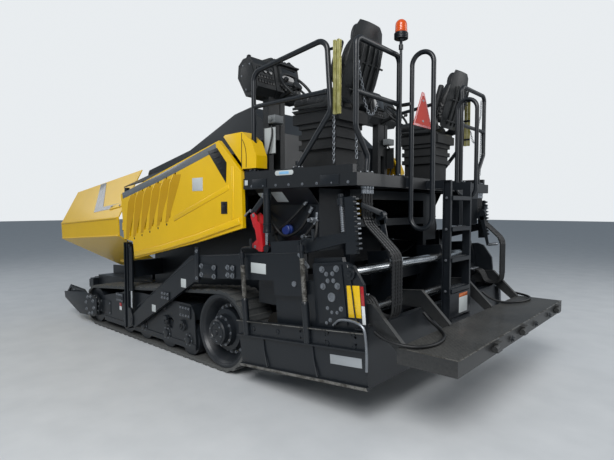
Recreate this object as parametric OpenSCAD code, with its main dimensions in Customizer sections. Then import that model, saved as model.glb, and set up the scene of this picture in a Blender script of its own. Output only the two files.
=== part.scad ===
// Rubber-tracked asphalt paver with folding hopper, raised screed and two driving stations.
// X points forward, Y to the machine's left and Z up. Lengths along X are measured from the
// axle of the rear drive wheels and moved by mid_x so that the machine is centred.

/* [Tracks] */
// Gap between the chassis and each belt
track_gap = 35; // [30:1:45]
// Width of a belt
belt_w = 370; // [350:5:375]
// Thickness of a belt
belt_t = 26; // [20:1:32]
// Height of a belt's tread bars
lug_h = 12; // [8:1:16]
// Number of tread bars round a belt
lug_count = 64; // [56:1:72]
// Radius over the tread at the rear drive wheel
drive_r = 400; // [380:5:415]
// Radius over the tread at the front idler
idler_r = 272; // [255:1:290]
// Distance from the drive wheel's axle to the idler's axle
wheelbase = 2760; // [2700:10:2800]
// Radius of the bogie wheels
bogie_r = 165; // [140:5:175]

/* [Frame] */
// Outer face of the chassis side plates
chassis_half = 815; // [790:5:825]
// Thickness of the chassis plates
chassis_t = 20; // [12:1:30]
// Underside of the chassis
chassis_z = 300; // [270:5:320]
// Rear end of the chassis, behind the drive axle
chassis_back = 400; // [390:5:420]
// Height of the conveyor floor
conveyor_z = 560; // [540:5:580]
// Half width of the conveyor tunnel
tunnel_half = 560; // [520:5:590]
// Height of the tunnel roof
tunnel_top = 900; // [880:5:920]

/* [Hopper] */
// Rear edge of the folding wings
wing_back = 1960; // [1950:5:1990]
// Front edge of the folding wings
wing_front = 3750; // [3700:5:3760]
// Thickness of a wing's plates
wing_t = 12; // [8:1:16]
// Hinge line of a wing, from the middle plane
wing_hinge_y = 640; // [620:5:660]
// Height of a wing's hinge line
wing_hinge_z = 775; // [770:1:785]
// Radius of a push roller
roller_r = 85; // [75:1:90]
// Axle of the push rollers
roller_x = 3765; // [3760:1:3790]

/* [Body] */
// How far the doors and the deck stand out beyond the belts
body_over = 50; // [40:2:54]
// Thickness of a side door
door_t = 36; // [28:1:40]
// Front edge of a side door
door_front = 1880; // [1860:5:1900]
// Rear edge of a side door
door_back = -400; // [-420:5:-390]
// Number of louvres in a side door
louvre_count = 6; // [4:1:6]
// Spacing of the louvres
louvre_pitch = 172; // [160:1:176]
// Half width of the engine hood
hood_half = 900; // [860:10:940]

/* [Deck] */
// Top of the deck floor
deck_z = 1860; // [1840:5:1880]
// Front edge of the deck
deck_front = -410; // [-420:5:-405]
// Rear edge of the deck
deck_back = -1650; // [-1680:5:-1640]
// Outer radius of the guard rail tube
rail_r = 21; // [17:1:24]
// How far the side rails stand in from the deck's edge
rail_in = 48; // [42:1:56]
// Height of the seats' back rests
seat_top = 3010; // [2960:5:3030]
// How far the middle of a seat lies in from the deck's edge
seat_in = 400; // [380:5:420]

/* [Screed] */
// Pitch of the raised screed
screed_pitch = 5.2; // [4.6:0.1:5.4]
// Tow point, ahead of the drive axle
tow_x = 1640; // [1620:5:1645]
// Height of the tow point
tow_z = 240; // [230:5:250]
// Gap between a belt and the tow arm beside it
arm_gap = 12; // [10:1:16]
// Thickness of the tow arms
arm_t = 50; // [40:1:54]
// Front face of the main screed
screed_front = -830; // [-850:5:-825]
// Rear face of the main screed
screed_back = -1290; // [-1300:5:-1270]
// Rear face of the sliding extensions
ext_back = -1770; // [-1790:5:-1760]
// Radius of the extensions' guide tubes
guide_r = 45; // [38:1:48]
// Gap between a tow arm and the end gate
gate_gap = 18; // [16:1:22]
// Depth of the end gate's channel
gate_depth = 40; // [30:1:44]
// Radius of the auger flighting
auger_r = 190; // [170:5:195]
// Axle of the augers, behind the drive axle
auger_x = -610; // [-620:1:-606]
// Turns of flighting on each auger
auger_turns = 3.5; // [2.5:0.5:4]

/* [Hidden] */
$fn = 48;

// Rear end of the walkway with its fittings, and the shift that centres the machine
walk_front = -1990;
walk_back = -2420;
walk_fitting = 48;
mid_x = (roller_x + roller_r + walk_back - walk_fitting) / 2;
// Widths from the middle plane, which all follow the chassis and the belts
track_outer = chassis_half + track_gap + belt_w;
body_half = track_outer + body_over;
door_y = body_half;
deck_half = body_half;
rail_y = body_half - rail_in;
seat_y = body_half - seat_in;
arm_y = track_outer + arm_gap;
gate_y = arm_y + arm_t + gate_gap;
screed_half = arm_y - 7;
// Front end of the frame, behind the push rollers
frame_front = wing_front - 190;
gap = 6;
// Top of the chassis under the hopper
sill_z = 625;
// Lift cylinders, behind the drive axle
lift_x = -700;
// Middle of the ladder's stringers
ladder_x = -1848;

charcoal = "#33363a";
yellow = "#e8c413";
belt_grey = "#5b5f62";

module place() {
    translate([-mid_x, 0, 0]) children();
}

// Everything on the screed is drawn as it lies on the road and pitched up about the tow point
module raised() {
    translate([tow_x, 0, tow_z]) rotate([0, screed_pitch, 0]) translate([-tow_x, 0, -tow_z]) children();
}

// side is 1 for the left and -1 for the right
module handed(side) {
    mirror([0, side < 0 ? 1 : 0, 0]) children();
}

// A plate with an outline in X and Z, between two values of Y
module xz(points, y0, y1) {
    translate([0, y1, 0]) rotate([90, 0, 0]) linear_extrude(y1 - y0) polygon(points);
}

// A bar with a section in Y and Z, between two values of X
module yz(points, x0, x1) {
    translate([x0, 0, 0]) rotate([90, 0, 90]) linear_extrude(x1 - x0) polygon(points);
}

// A box between two opposite corners, given in any order
module block(a, b) {
    translate([for (i = [0:2]) min(a[i], b[i])]) cube([for (i = [0:2]) abs(b[i] - a[i])]);
}

// A round bar along Y
module across(x, z, r, y0, y1) {
    translate([x, y0, z]) rotate([-90, 0, 0]) cylinder(r = r, h = y1 - y0);
}

function unit(v) = v / norm(v);

// A round bar between two points
module rod(a, b, r) {
    d = b - a;
    translate(a) rotate([0, acos(d.z / norm(d)), atan2(d.y, d.x)]) cylinder(r = r, h = norm(d));
}

// A bent tube through the given corners, each rounded to the same bend radius. A bend is a
// little thicker than the straights, which run a short way into it.
module tube(points, r, bend) {
    last = len(points) - 1;
    turn = [for (i = [0:last]) i == 0 || i == last ? 0 :
        acos(unit(points[i] - points[i - 1]) * unit(points[i + 1] - points[i]))];
    cut = [for (i = [0:last]) bend * tan(turn[i] / 2)];
    for (i = [1:last]) {
        u = unit(points[i] - points[i - 1]);
        rod(points[i - 1] + u * (i > 1 ? cut[i - 1] - 1.5 : 0), points[i] - u * (i < last ? cut[i] - 1.5 : 0), r);
        if (i < last) {
            v = unit(points[i + 1] - points[i]);
            n = unit(v - u * (u * v));
            c = points[i] - u * cut[i] + n * bend;
            w = cross(-n, u);
            multmatrix([[-n.x, u.x, w.x, c.x], [-n.y, u.y, w.y, c.y], [-n.z, u.z, w.z, c.z], [0, 0, 0, 1]])
                rotate_extrude(angle = turn[i]) translate([bend, 0]) circle(r + 0.6);
        }
    }
}

// The belt's path: along the ground, round the idler, back along the top and round the drive
// wheel. The top run slopes because the idler is smaller.
slope = atan2(idler_r - drive_r, wheelbase);
idler_arc = idler_r * (180 + 2 * slope) * PI / 180;
drive_arc = drive_r * (180 - 2 * slope) * PI / 180;
loop_length = 2 * wheelbase + idler_arc + drive_arc;
top_angle = 90 + 2 * slope;

// Point at a distance along the path, moved outwards by out
function path_point(s, out) =
    s < wheelbase ? [s, -out] :
    s < wheelbase + idler_arc ? let(a = -90 + (s - wheelbase) / idler_r * 180 / PI)
        [wheelbase, idler_r] + (idler_r + out) * [cos(a), sin(a)] :
    s < 2 * wheelbase + idler_arc ? let(d = s - wheelbase - idler_arc)
        [wheelbase, idler_r] + (idler_r + out) * [cos(top_angle), sin(top_angle)]
            - d * [sin(top_angle), -cos(top_angle)] :
    let(a = top_angle + (s - 2 * wheelbase - idler_arc) / drive_r * 180 / PI)
        [0, drive_r] + (drive_r + out) * [cos(a), sin(a)];

// One loop of rubber with its tread bars, lying on true arcs at the wheels
module belt(side) {
    pitch = loop_length / lug_count;
    outline = [for (i = [0:lug_count - 1], step = [[0, -lug_h], [0.12, 0], [0.5, 0], [0.62, -lug_h]])
        path_point((i + step[0]) * pitch, step[1])];
    inner = belt_t + lug_h;
    color(belt_grey) place() handed(side) difference() {
        xz(outline, track_outer - belt_w, track_outer);
        track_void(inner, track_outer - belt_w - 1, track_outer + 1);
    }
}

// The space inside the loop, as far in from the tread's tips as given
module track_void(inner, y0, y1) {
    top = [cos(top_angle), sin(top_angle)];
    across(0, drive_r, drive_r - inner, y0, y1);
    across(wheelbase, idler_r, idler_r - inner, y0, y1);
    xz([[0, inner], [wheelbase, inner], [wheelbase, idler_r] + (idler_r - inner) * top,
        [0, drive_r] + (drive_r - inner) * top], y0, y1);
}

// Drive wheel: rubber-faced rim, dished disc and the stepped planetary hub that drives it
module drive_wheel(side) {
    rim = drive_r - belt_t - lug_h - 0.5;
    back = track_outer - belt_w + 15;
    face = track_outer - 15;
    // columns: radius, distance out from the rim's back edge
    profile = [[0, 60], [rim - 45, 60], [rim - 45, 0], [rim, 0], [rim, face - back],
        [rim - 40, face - back], [rim - 60, face - back - 25], [250, face - back - 120],
        [215, face - back - 125], [205, face - back - 60], [160, face - back - 50],
        [150, face - back + 5], [128, face - back + 12], [122, face - back + 60],
        [108, face - back + 72], [0, face - back + 72]];
    color(charcoal) place() handed(side) translate([0, back, drive_r]) rotate([-90, 0, 0])
        rotate_extrude() polygon(profile);
}

// Track frame: side plates with a bottom rail, bogie wheels between them, the front idler with
// its round bearing cover, and the tapered guard ahead of it
function along(x) = x * wheelbase / 2760;
bogie_x = [for (x = [560, 980, 1480, 1900]) along(x)];
module track_frame(side) {
    out = track_outer - 12;
    in = track_outer - belt_w + 12;
    inner = belt_t + lug_h;
    plate = [[430, 135], [along(2520), 125], [along(2580), 420], [along(1900), 560], [along(1500), 585],
        [520, 585], [455, 500]];
    color(charcoal) place() handed(side) {
        difference() {
            union() {
                for (y = [in, out - 14]) xz(plate, y, y + 14);
                xz([[480, 420], [along(2300), 400], [along(2380), 460], [along(1500), 570], [540, 570]], in, out);
                xz([[430, 112], [along(2500), 105], [along(2500), 165], [430, 172]], out - 14, out + 8);
                for (y = [in, out - 14]) xz([[along(2300), 190], [wheelbase + 100, 200],
                    [wheelbase + 100, 330], [along(2300), 400]], y, y + 14);
                for (x = bogie_x) across(x, inner + bogie_r, 42, in, out + 16);
                across(wheelbase, idler_r, 70, in - 6, out + 6);
                across(wheelbase, idler_r, 150, out, out + 22);
                across(wheelbase, idler_r, 95, out + 22, out + 34);
            }
            across(900, 330, 60, out - 20, out + 30);
        }
        for (x = bogie_x) across(x, inner + bogie_r + 0.5, bogie_r, in + 22, out - 22);
        across(wheelbase, idler_r, idler_r - inner - 0.5, in + 22, out - 22);
        // guard and tie to the front of the hopper frame
        xz([[wheelbase + 30, 300], [wheelbase + 320, 450], [frame_front, 470], [frame_front + 160, 330],
            [frame_front + 160, 250], [wheelbase + 300, 170], [wheelbase + 30, 200]],
            track_outer + 2, track_outer + 10);
    }
}

// Chassis: two side plates with a closed bottom, the tunnel roof and cross members
module chassis() {
    s = chassis_half;
    f = frame_front;
    side = [[-chassis_back, 430], [-chassis_back, 1500], [1880, 1500], [1900, sill_z], [f, sill_z - 55],
        [f, chassis_z], [-250, chassis_z]];
    wheel_back = track_outer - belt_w + 15;
    color(charcoal) place() difference() {
        union() {
            for (k = [-1, 1]) handed(k) {
                xz(side, s - chassis_t, s);
                xz([[-chassis_back, 440], [-chassis_back, tunnel_top], [f, 700], [f, chassis_z]],
                    tunnel_half, tunnel_half + chassis_t);
                xz([[1880, sill_z - 14], [f, sill_z - 69], [f, sill_z - 55], [1880, sill_z]],
                    tunnel_half + 1, s - 1);
                // drive gearbox and the frame's cross tubes
                across(0, drive_r, 145, s - 2, wheel_back + 60 - 0.3);
                for (x = [760, 2100]) across(x, 470, 50, s - 2, track_outer - belt_w + 12);
            }
            block([-250, -s, chassis_z], [f, s, chassis_z + chassis_t]);
            block([-chassis_back, -s, tunnel_top], [1890, s, tunnel_top + chassis_t]);
            block([1870, -s, tunnel_top], [1890, s, 1500]);
            block([-chassis_back, -s, tunnel_top], [-chassis_back + chassis_t, s, 1500]);
            block([-chassis_back, -s, chassis_z + 130], [-chassis_back + chassis_t, s, 1500]);
            block([f - 20, -s, chassis_z], [f, s, conveyor_z - 20]);
            // rear tie-down lugs under the frame
            for (k = [-1, 1]) handed(k) difference() {
                yz([[tunnel_half - 15, chassis_z + 1], [tunnel_half + 75, chassis_z + 1], [tunnel_half + 70, 175],
                    [tunnel_half + 50, 135], [tunnel_half + 10, 135], [tunnel_half - 10, 175]], -250, -220);
                translate([-251, tunnel_half + 30, 185]) rotate([0, 90, 0]) cylinder(r = 25, h = 32);
            }
        }
        block([-chassis_back - 10, -tunnel_half, conveyor_z - 14.3], [f + 140, tunnel_half, tunnel_top]);
    }
}

// Slat conveyors: floor plate, two chains of bars on each side and the middle divider
slat_pitch = 150;
module conveyor() {
    half = tunnel_half - 2;
    b = -chassis_back - 10;
    f = frame_front + 40;
    color("#4a4640") place() {
        block([b, -half, conveyor_z - 14], [f, half, conveyor_z]);
        block([b, -18, conveyor_z - 1], [f, 18, conveyor_z + 60]);
        for (k = [-1, 1], y = [90, half - 60]) handed(k)
            block([b, y - 22, conveyor_z - 1], [f, y + 22, conveyor_z + 14]);
        for (k = [-1, 1], x = [b + 30:slat_pitch:f - 50]) handed(k)
            block([x, 40, conveyor_z - 1], [x + 42, half - 12, conveyor_z + 26]);
    }
}

// Folding wing: floor plate, upright band and the top plate that leans in. The section runs
// along a line that climbs towards the rear, and the wing's side outline trims it.
wing_section = [[wing_hinge_y, 700], [body_half - 8, 1140], [body_half, 1370], [hood_half - 10, 2075]];
wing_climb = atan2(110, wing_front - wing_back);
floor_rise = (wing_section[1].y - wing_section[0].y) / (wing_section[1].x - wing_section[0].x);
wing_hinge_x = [2078, 2798];
function thick_section(p, t) = let(n = len(p), d = [for (i = [0:n - 2]) unit(p[i + 1] - p[i])],
    m = [for (i = [0:n - 1]) i == 0 ? d[0] : i == n - 1 ? d[n - 2] : unit(d[i - 1] + d[i])],
    k = [for (i = [0:n - 1]) i == 0 || i == n - 1 ? t : t / (m[i] * d[i])])
    concat(p, [for (i = [n - 1:-1:0]) p[i] + k[i] * [-m[i].y, m[i].x]]);
module wing(side) {
    outline = [[wing_back, 640], [wing_front - 710, 640], [wing_front, 1130], [wing_front, 1840], [wing_back, 2090]];
    color(yellow) place() handed(side) {
        difference() {
            intersection() {
                translate([wing_front, 0, 0]) rotate([0, wing_climb, 0]) translate([-wing_front, 0, 0])
                    yz(thick_section(wing_section, wing_t), wing_back - 300, wing_front + 300);
                xz(outline, 600, body_half + 30);
            }
            for (x = wing_hinge_x) block([x - 60, wing_hinge_y - 50, 600], [x + 194, wing_hinge_y + 100, 900]);
        }
        // hinge barrels on lugs under the floor plate
        for (x = wing_hinge_x) let(z = 698 + 130 * floor_rise + (wing_front - x - 67) * tan(wing_climb)) difference() {
            union() {
                translate([x, wing_hinge_y, wing_hinge_z]) rotate([0, 90, 0]) cylinder(r = 34, h = 134);
                yz([[wing_hinge_y - 5, wing_hinge_z - 33], [wing_hinge_y + 130, z - 30],
                    [wing_hinge_y + 130, z + 5], [wing_hinge_y, wing_hinge_z + 33]], x, x + 134);
            }
            translate([x - 1, wing_hinge_y, wing_hinge_z]) rotate([0, 90, 0]) cylinder(r = 17, h = 136);
        }
    }
}

// Wing hinge pins in their brackets, and the cylinders that fold the wings
module wing_cylinders() {
    color("#3a3d40") place() for (k = [-1, 1]) handed(k) {
        for (x = wing_hinge_x) {
            translate([x - 40, wing_hinge_y, wing_hinge_z]) rotate([0, 90, 0]) cylinder(r = 16.94, h = 214);
            for (b = [x - 44, x + 144]) {
                block([b, wing_hinge_y - 30, sill_z + 0.3 - (b - 1880) * 55 / 1680],
                    [b + 34, wing_hinge_y + 30, wing_hinge_z]);
                translate([b, wing_hinge_y, wing_hinge_z]) rotate([0, 90, 0]) cylinder(r = 30, h = 34);
            }
        }
        rod([1921, 700, 1120], [1921, 960, 1176], 28);
        rod([1921, 950, 1174], [1921, 1080, 1202], 16);
        block([1890.3, 665, 1080], [1925, 715, 1160]);
    }
}

// Push beam: cross beam on the front of the frame with forks for the rollers
module push_beam() {
    color(charcoal) place() {
        block([frame_front + 0.3, -900, 330], [frame_front + 100, 900, 520]);
        // tie-down lugs
        for (k = [-1, 1]) handed(k) difference() {
            block([frame_front + 95, 850, 370], [frame_front + 185, 880, 490]);
            across(frame_front + 140, 430, 25, 845, 885);
        }
        for (k = [-1, 1], y = [130, 790]) handed(k) difference() {
            xz([[frame_front + 80, 340], [frame_front + 80, 510], [roller_x - 25, 500], [roller_x + 35, 460],
                [roller_x + 35, 400], [roller_x - 25, 360]], y - 12, y + 12);
            across(roller_x, 430, 20, y - 20, y + 20);
        }
    }
}

module push_roller(side) {
    color("#4d5054") place() handed(side) {
        across(roller_x, 430, roller_r, 130 + 12 + gap, 790 - 12 - gap);
        across(roller_x, 430, 19.94, 110, 810);
    }
}

// Engine, as one plain block at its place under the hood
module engine_block() {
    color("#565a5e") place() {
        block([100, -420, tunnel_top + chassis_t], [1350, 420, 1750]);
        block([1450, -700, tunnel_top + chassis_t], [1650, 700, 1850]);
    }
}

// Hood over the engine: top, front wall and inner sides as one pressed cover
hood_line = [[-390, 2330], [-100, 2600], [150, 2560], [950, 2260], [1850, 2080]];
module engine_hood() {
    h = hood_half;
    t = 10;
    outer = concat([[-390, 1870]], hood_line, [[1880, 2040], [1880, 1500.3]]);
    inner = concat([[-380, 1500]], [for (p = hood_line) p - [-t * 0.3, t]], [[1870, 2030], [1870, 1490]]);
    color(charcoal) place() difference() {
        union() {
            difference() {
                xz(outer, -h, h);
                xz(inner, -h + t, h - t);
            }
            // sloping shoulders that meet the side doors
            for (k = [-1, 1]) handed(k)
                polyhedron([[-390, h - 2, 2300], [1880, h - 2, 2020], [1880, door_y - 42, 1860],
                    [-390, door_y - 42, 2120], [-390, h - 2, 2290], [1880, h - 2, 2010],
                    [1880, door_y - 42, 1850], [-390, door_y - 42, 2110]],
                    [[0, 3, 2, 1], [4, 5, 6, 7], [0, 1, 5, 4], [1, 2, 6, 5], [2, 3, 7, 6], [3, 0, 4, 7]]);
        }
        for (x = [1000:90:1700]) block([x, -500, 1900], [x + 40, 500, 2400]);
    }
}

// Door posts: upright behind each door's front edge with the hinge pins, and the latch post
module door_posts() {
    x = door_front - 12;
    color(charcoal) place() for (k = [-1, 1]) handed(k) {
        block([door_front - 50, chassis_half + 0.3, 1210], [door_front + 6, door_y - 50, 1238]);
        block([door_front - 50, door_y - 90, 1237], [door_front + 6, door_y - 50, 1849.6]);
        for (z = door_hinges) {
            translate([x, door_y - 20, z - 12]) cylinder(r = 8.34, h = 114);
            for (b = [z - 12, z + 93]) {
                translate([x, door_y - 20, b]) cylinder(r = 11, h = 9);
                block([x - 10, door_y - 60, b], [x + 10, door_y - 20, b + 9]);
            }
        }
        block([door_back + 30, chassis_half + 0.3, 1455], [door_back + 70, door_y - 50, 1500]);
        block([door_back + 30, door_y - 90, 1499], [door_back + 70, door_y - 50, 2102.5]);
    }
}

// Yellow rear corners that close the body behind the doors
module body_corners() {
    f = -390.3;
    color(yellow) place() for (k = [-1, 1]) handed(k) difference() {
        xz([[f, 2280], [f, 1950], [f - 190, 1950], [f - 190, 2060], [f - 130, 2190]], door_y - 130, door_y);
        xz([[f - 8, 2262], [f - 8, 1940], [f - 178, 1940], [f - 178, 2054], [f - 122, 2176]], door_y - 140, door_y - 10);
        translate([-500, rail_y, 1900]) cylinder(r = 29, h = 500);
    }
}

// Side door: pressed pan with slanted louvres, a black vent and a recessed latch
door_outline = [[door_front, 1770], [door_front - 60, 1225], [1605, 1205], [1560, 1000], [300, 1255],
    [door_back, 1420], [door_back + 20, 1930], [-60, 2235]];
door_hinges = [1330, 1640];
module door(side) {
    t = door_t;
    color(yellow) place() handed(side) difference() {
        union() {
            difference() {
                xz(door_outline, door_y - t, door_y);
                xz([for (p = door_outline) [740, 1620] + (p - [740, 1620]) * 0.93], door_y - t - 1,
                    door_y - 5);
                for (z = door_hinges) block([door_front - 40, door_y - 60, z - 20],
                    [door_front + 10, door_y - 7, z + 110]);
            }
            for (i = [0:louvre_count - 1]) louvre(i, 24);
            for (z = door_hinges) {
                translate([door_front - 12, door_y - 20, z]) cylinder(r = 13.5, h = 90);
                block([1780, door_y - 24, z], [door_front - 12, door_y - 16, z + 90]);
            }
        }
        for (i = [0:louvre_count - 1]) louvre(i, 0);
        for (z = door_hinges) translate([door_front - 12, door_y - 20, z - 1]) cylinder(r = 8.4, h = 92);
    }
}

// A louvre leans back and is cut open along its front edge
module louvre(i, rib) {
    x = 1640 - i * louvre_pitch;
    z = 1245 + i * 47;
    h = 540;
    if (rib > 0)
        xz([[x - 50, z], [x + 55, z], [x - 85, z + h], [x - 190, z + h]], door_y - rib, door_y);
    else
        xz([[x + 12, z + 14], [x + 42, z + 14], [x - 95, z + h - 14], [x - 125, z + h - 14]],
            door_y - 60, door_y + 1);
}

// Deck: chequered floor on a channel frame with a kerb along each side
module deck() {
    b = deck_back;
    f = deck_front;
    color("#3c4043") place() difference() {
        union() {
            block([b, -deck_half, deck_z - 10], [f, deck_half, deck_z]);
            for (k = [-1, 1]) handed(k) {
                block([b, deck_half - 60, deck_z - 95], [f, deck_half, deck_z]);
                block([b, 560, deck_z - 95], [f, 610, deck_z]);
                block([b + 40, deck_half - 50, deck_z - 1], [f - 20, deck_half - 4, deck_z + 60]);
            }
            block([b, -deck_half, deck_z - 95], [b + 60, deck_half, deck_z]);
            block([f - 60, -deck_half, deck_z - 95], [f, deck_half, deck_z]);
        }
        for (k = [-1, 1]) handed(k) block([b + 60, deck_half - 52, deck_z - 88], [f - 60, deck_half - 8, deck_z - 11]);
    }
}

// Rear frame below the deck: uprights, tank and cooler boxes, and the mast for the augers
module rear_frame() {
    back = -1180;
    color("#2f3235") place() {
        for (k = [-1, 1]) handed(k) {
            block([back, 640, 1090], [back + 70, 710, deck_z - 95]);
            block([back, 640, 1430], [-chassis_back - 0.3, 700, 1500]);
            block([back + 60, 700, 1240], [-480, deck_half - 210, deck_z - 95]);
            // sloping skirt under the deck's edge
            yz([[deck_half - 70, deck_z - 95], [deck_half - 76, deck_z - 95], [deck_half - 214, 1630],
                [deck_half - 206, 1630]], -1120, -480);
            // hydraulic box behind the drive wheel
            block([-640, chassis_half - 110, 720], [-chassis_back - 0.3, chassis_half + 265, 975]);
        }
        block([back, -700, 1430], [back + 70, 700, 1500]);
        block([-chassis_back - 240, -650, 1010], [-chassis_back, 650, 1440]);
        block([back, -650, 1680], [back + 60, 650, deck_z - 95]);
        // finned cooler under the rear of the deck, inside the hoses
        q = screed_half - 225;
        block([-1640, -q, 1700], [-1500, 470 - q, deck_z - 95.3]);
        block([-1620, -q, 1420], [-1500, 470 - q, 1701]);
        for (y = [10 - q:30:460 - q]) block([-1640, y, 1430], [-1619, y + 10, 1701]);
    }
}

// Wrapped hose bundle on each side, from the deck frame down behind the screed to its valve block
module hoses(side) {
    x = deck_back + 30;
    top = deck_z - 95.3;
    r = 11;
    color("#202224") place() handed(side) for (y = [screed_half - 185:35:screed_half - 80]) {
        tube([[x, y, top], [x, y, 1510], [-1880, y, 1260], [-1880, y, 820], [-1700, y, 790], [-1655, y, 925],
            [-1562, y, 925]], r, 80);
        translate([x, y, top - 60]) cylinder(r = 16, h = 60);
        rotate([0, 90, 0]) translate([-925, y, -1606]) cylinder(r = 15, h = 44);
    }
}

// Ladder: two channel stringers with treads, hung from the deck's rear edge
module ladder() {
    x = ladder_x;
    color("#2c2f36") place() {
        for (k = [-1, 1]) handed(k) difference() {
            block([x - 36, 195, 560], [x + 36, 225, deck_z - 20]);
            block([x - 26, 205, 570], [x + 26, 226, deck_z - 30]);
        }
        for (z = [590:270:1700]) difference() {
            block([x - 48, -197, z], [x + 48, 197, z + 34]);
            block([x - 42, -190, z - 1], [x + 42, 190, z + 28]);
        }
        for (k = [-1, 1]) handed(k) block([x + 30, 196, deck_z - 90], [deck_back, 224, deck_z - 20]);
    }
}

module guard_rail(side) {
    rear = deck_back + 45;
    top = 2860;
    r = rail_r;
    y = rail_y;
    foot = deck_z + 61;
    color("#3a3e42") place() handed(side) {
        tube([[-500, y, foot], [-500, y, 2790], [-1330, y, 2890], [-1370, y, 2340], [-1030, y, foot + 15]],
            r, 90);
        rod([-500, y, 2490], [-1360, y, 2490], r * 0.9);
        tube([[rear, 620, deck_z + 1], [rear, 620, top - 20], [rear, y + 3, top - 20], [rear, y + 3, 2190],
            [rear, y - 152, 1990], [rear, y - 137, deck_z + 4]], r, 60);
        rod([rear, 620, 2450], [rear, y + 3, 2450], r * 0.9);
        for (x = [-500, -1030]) block([x - 40, y - 26, foot - 0.7], [x + 40, y + 26, foot + 10]);
        for (q = [620, y - 137]) block([rear - 40, q - 40, deck_z + 0.3], [rear + 40, q + 40, deck_z + 10]);
    }
}

// Grab hoops beside the ladder
module grab_hoops() {
    color("#3a3e42") place() {
        for (h = [[560, 1430, 2850], [-330, 1700, 2630]]) {
            x0 = -1690;
            x1 = -1880;
            c = (h[1] + h[2]) / 2;
            tube([[x0, h[0], c], [x0, h[0], h[2]], [x1, h[0], h[2]], [x1, h[0], h[1]],
                [x0, h[0], h[1]], [x0, h[0], c]], 19, 94);
            block([x0 - 5, h[0] - 12, deck_z - 85], [deck_back - 0.3, h[0] + 12, deck_z - 5]);
        }
        block([-1695, 555, 2440], [-1600, 598.7, 2460]);
    }
}

module beacon() {
    x = -1660;
    y = 690;
    color("#f06414") place() {
        translate([x, y, 2985]) cylinder(r1 = 52, r2 = 46, h = 70);
        translate([x, y, 3054]) sphere(r = 46);
        translate([x, y, 2945]) cylinder(r = 56, h = 42);
        translate([x, y, 2300]) cylinder(r = 11, h = 650);
        block([x, y - 10, 2440], [-1624.2, y + 10, 2460]);
    }
}

// Driver's seat as a plain solid: cushion and raked back rest
module seat(side) {
    color("#2b2d30") place() handed(side) {
        xz([[-770, 2440], [-760, 2490], [-810, 2515], [-1190, 2490], [-1262, 2560], [-1390, seat_top - 20],
            [-1430, seat_top], [-1480, seat_top - 20], [-1500, seat_top - 80], [-1385, 2500], [-1330, 2410],
            [-1200, 2395]], seat_y - 250, seat_y + 250);
    }
}

// Seat base: plinth, folded bellows and the slide plate
module seat_base(side) {
    color("#26282b") place() handed(side) {
        block([-1260, seat_y - 150, deck_z], [-900, seat_y + 150, 2090]);
        for (i = [0:4])
            block([-1290 + (i % 2) * 18, seat_y - 180 + (i % 2) * 18, 2089 + i * 44],
                [-880 - (i % 2) * 18, seat_y + 180 - (i % 2) * 18, 2089 + i * 44 + 45]);
        block([-1330, seat_y - 200, 2308], [-830, seat_y + 200, 2394.7]);
    }
}

// Console: two columns, a dash of two pods and the steering wheel in front of the seat
module console(side) {
    y = seat_y;
    hub = [-690, y, 2700];
    color("#303336") place() handed(side) {
        for (q = [y - 60, y + 90]) block([-480, q, deck_z], [-400, q + 60, 2640]);
        block([-474, y - 61, 2240], [-466, y + 151, 2640]);
        // columns: inner and outer side of a pod, and its top
        for (pod = [[y - 250, y + 82, 3000], [y + 90, rail_y - 30, 2950]])
            xz([[-520, 2680], [-470, 2610], [-360, 2610], [-250, 2790], [-260, pod[2] - 50],
                [-320, pod[2]], [-420, pod[2]], [-470, pod[2] - 60]], pod[0], pod[1]);
        block([-440, y - 200, 2620], [-300, y + 200, 2760]);
        rod([-480, y, 2640], hub, 22);
        translate(hub) rotate([0, -50, 0]) {
            rotate_extrude() translate([170, 0]) circle(13);
            cylinder(r = 40, h = 26, center = true);
            for (a = [90, 210, 330]) rotate([0, 0, a]) translate([0, -14, -6]) cube([170, 28, 12]);
        }
    }
}

module slow_sign() {
    color("#e24a1e") place() translate([-1709.3, 575, 2280]) rotate([90, 0, -90])
        linear_extrude(4) polygon([[0, 0], [330, 0], [330 / 2 + 18, 290], [330 / 2 - 18, 290]]);
}

// Tow guide: toothed channel with the levelling cylinder in front of the tow arm's eye
module tow_guides() {
    x = tow_x + 60;
    in = arm_y - 4;
    out = arm_y + 64;
    mid = arm_y + arm_t / 2 + 5;
    color("#3d4144") place() for (k = [-1, 1]) handed(k) {
        difference() {
            block([x, in, 140], [x + 80, out, 1185]);
            block([x + 12, in + 10, 130], [x + 68, out + 4, 1200]);
        }
        for (z = [180:70:1140]) block([x + 8, in + 8, z], [x + 72, in + 22, z + 26]);
        block([x + 4, chassis_half + 0.3, 760], [x + 76, in + 2, 960]);
        across(x - 36, 1150, 18, mid - 22, mid + 28);
        translate([x - 36, mid, 620]) cylinder(r = 27, h = 520);
        translate([x - 36, mid, 330]) cylinder(r = 14, h = 292);
        block([x - 50, mid - 22, 1120], [x + 4, mid + 22, 1170]);
        // tow pin on the slider's outer cheek
        across(tow_x, tow_z, 29.94, in, out);
        xz([[tow_x - 45, tow_z - 45], [tow_x - 45, tow_z + 60], [tow_x + 8, 400], [tow_x + 68, 400],
            [tow_x + 68, tow_z - 90]], arm_y + arm_t + 6, out);
        block([x - 50, mid - 10, 335], [x - 22, out - 4, 385]);
    }
}

// Lift cylinder, hung from the deck frame over the tow arm
module lift_cylinders() {
    y = arm_y + arm_t / 2;
    color("#3d4144") place() for (k = [-1, 1]) handed(k) {
        translate([lift_x, y, 1400]) cylinder(r = 32, h = 330);
        translate([lift_x, y, 1270]) cylinder(r = 17, h = 132);
        across(lift_x, 1250, 32, y - 14, y + 14);
        block([lift_x - 30, y - 20, 1700], [lift_x + 30, deck_half, deck_z - 95.3]);
    }
}

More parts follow.
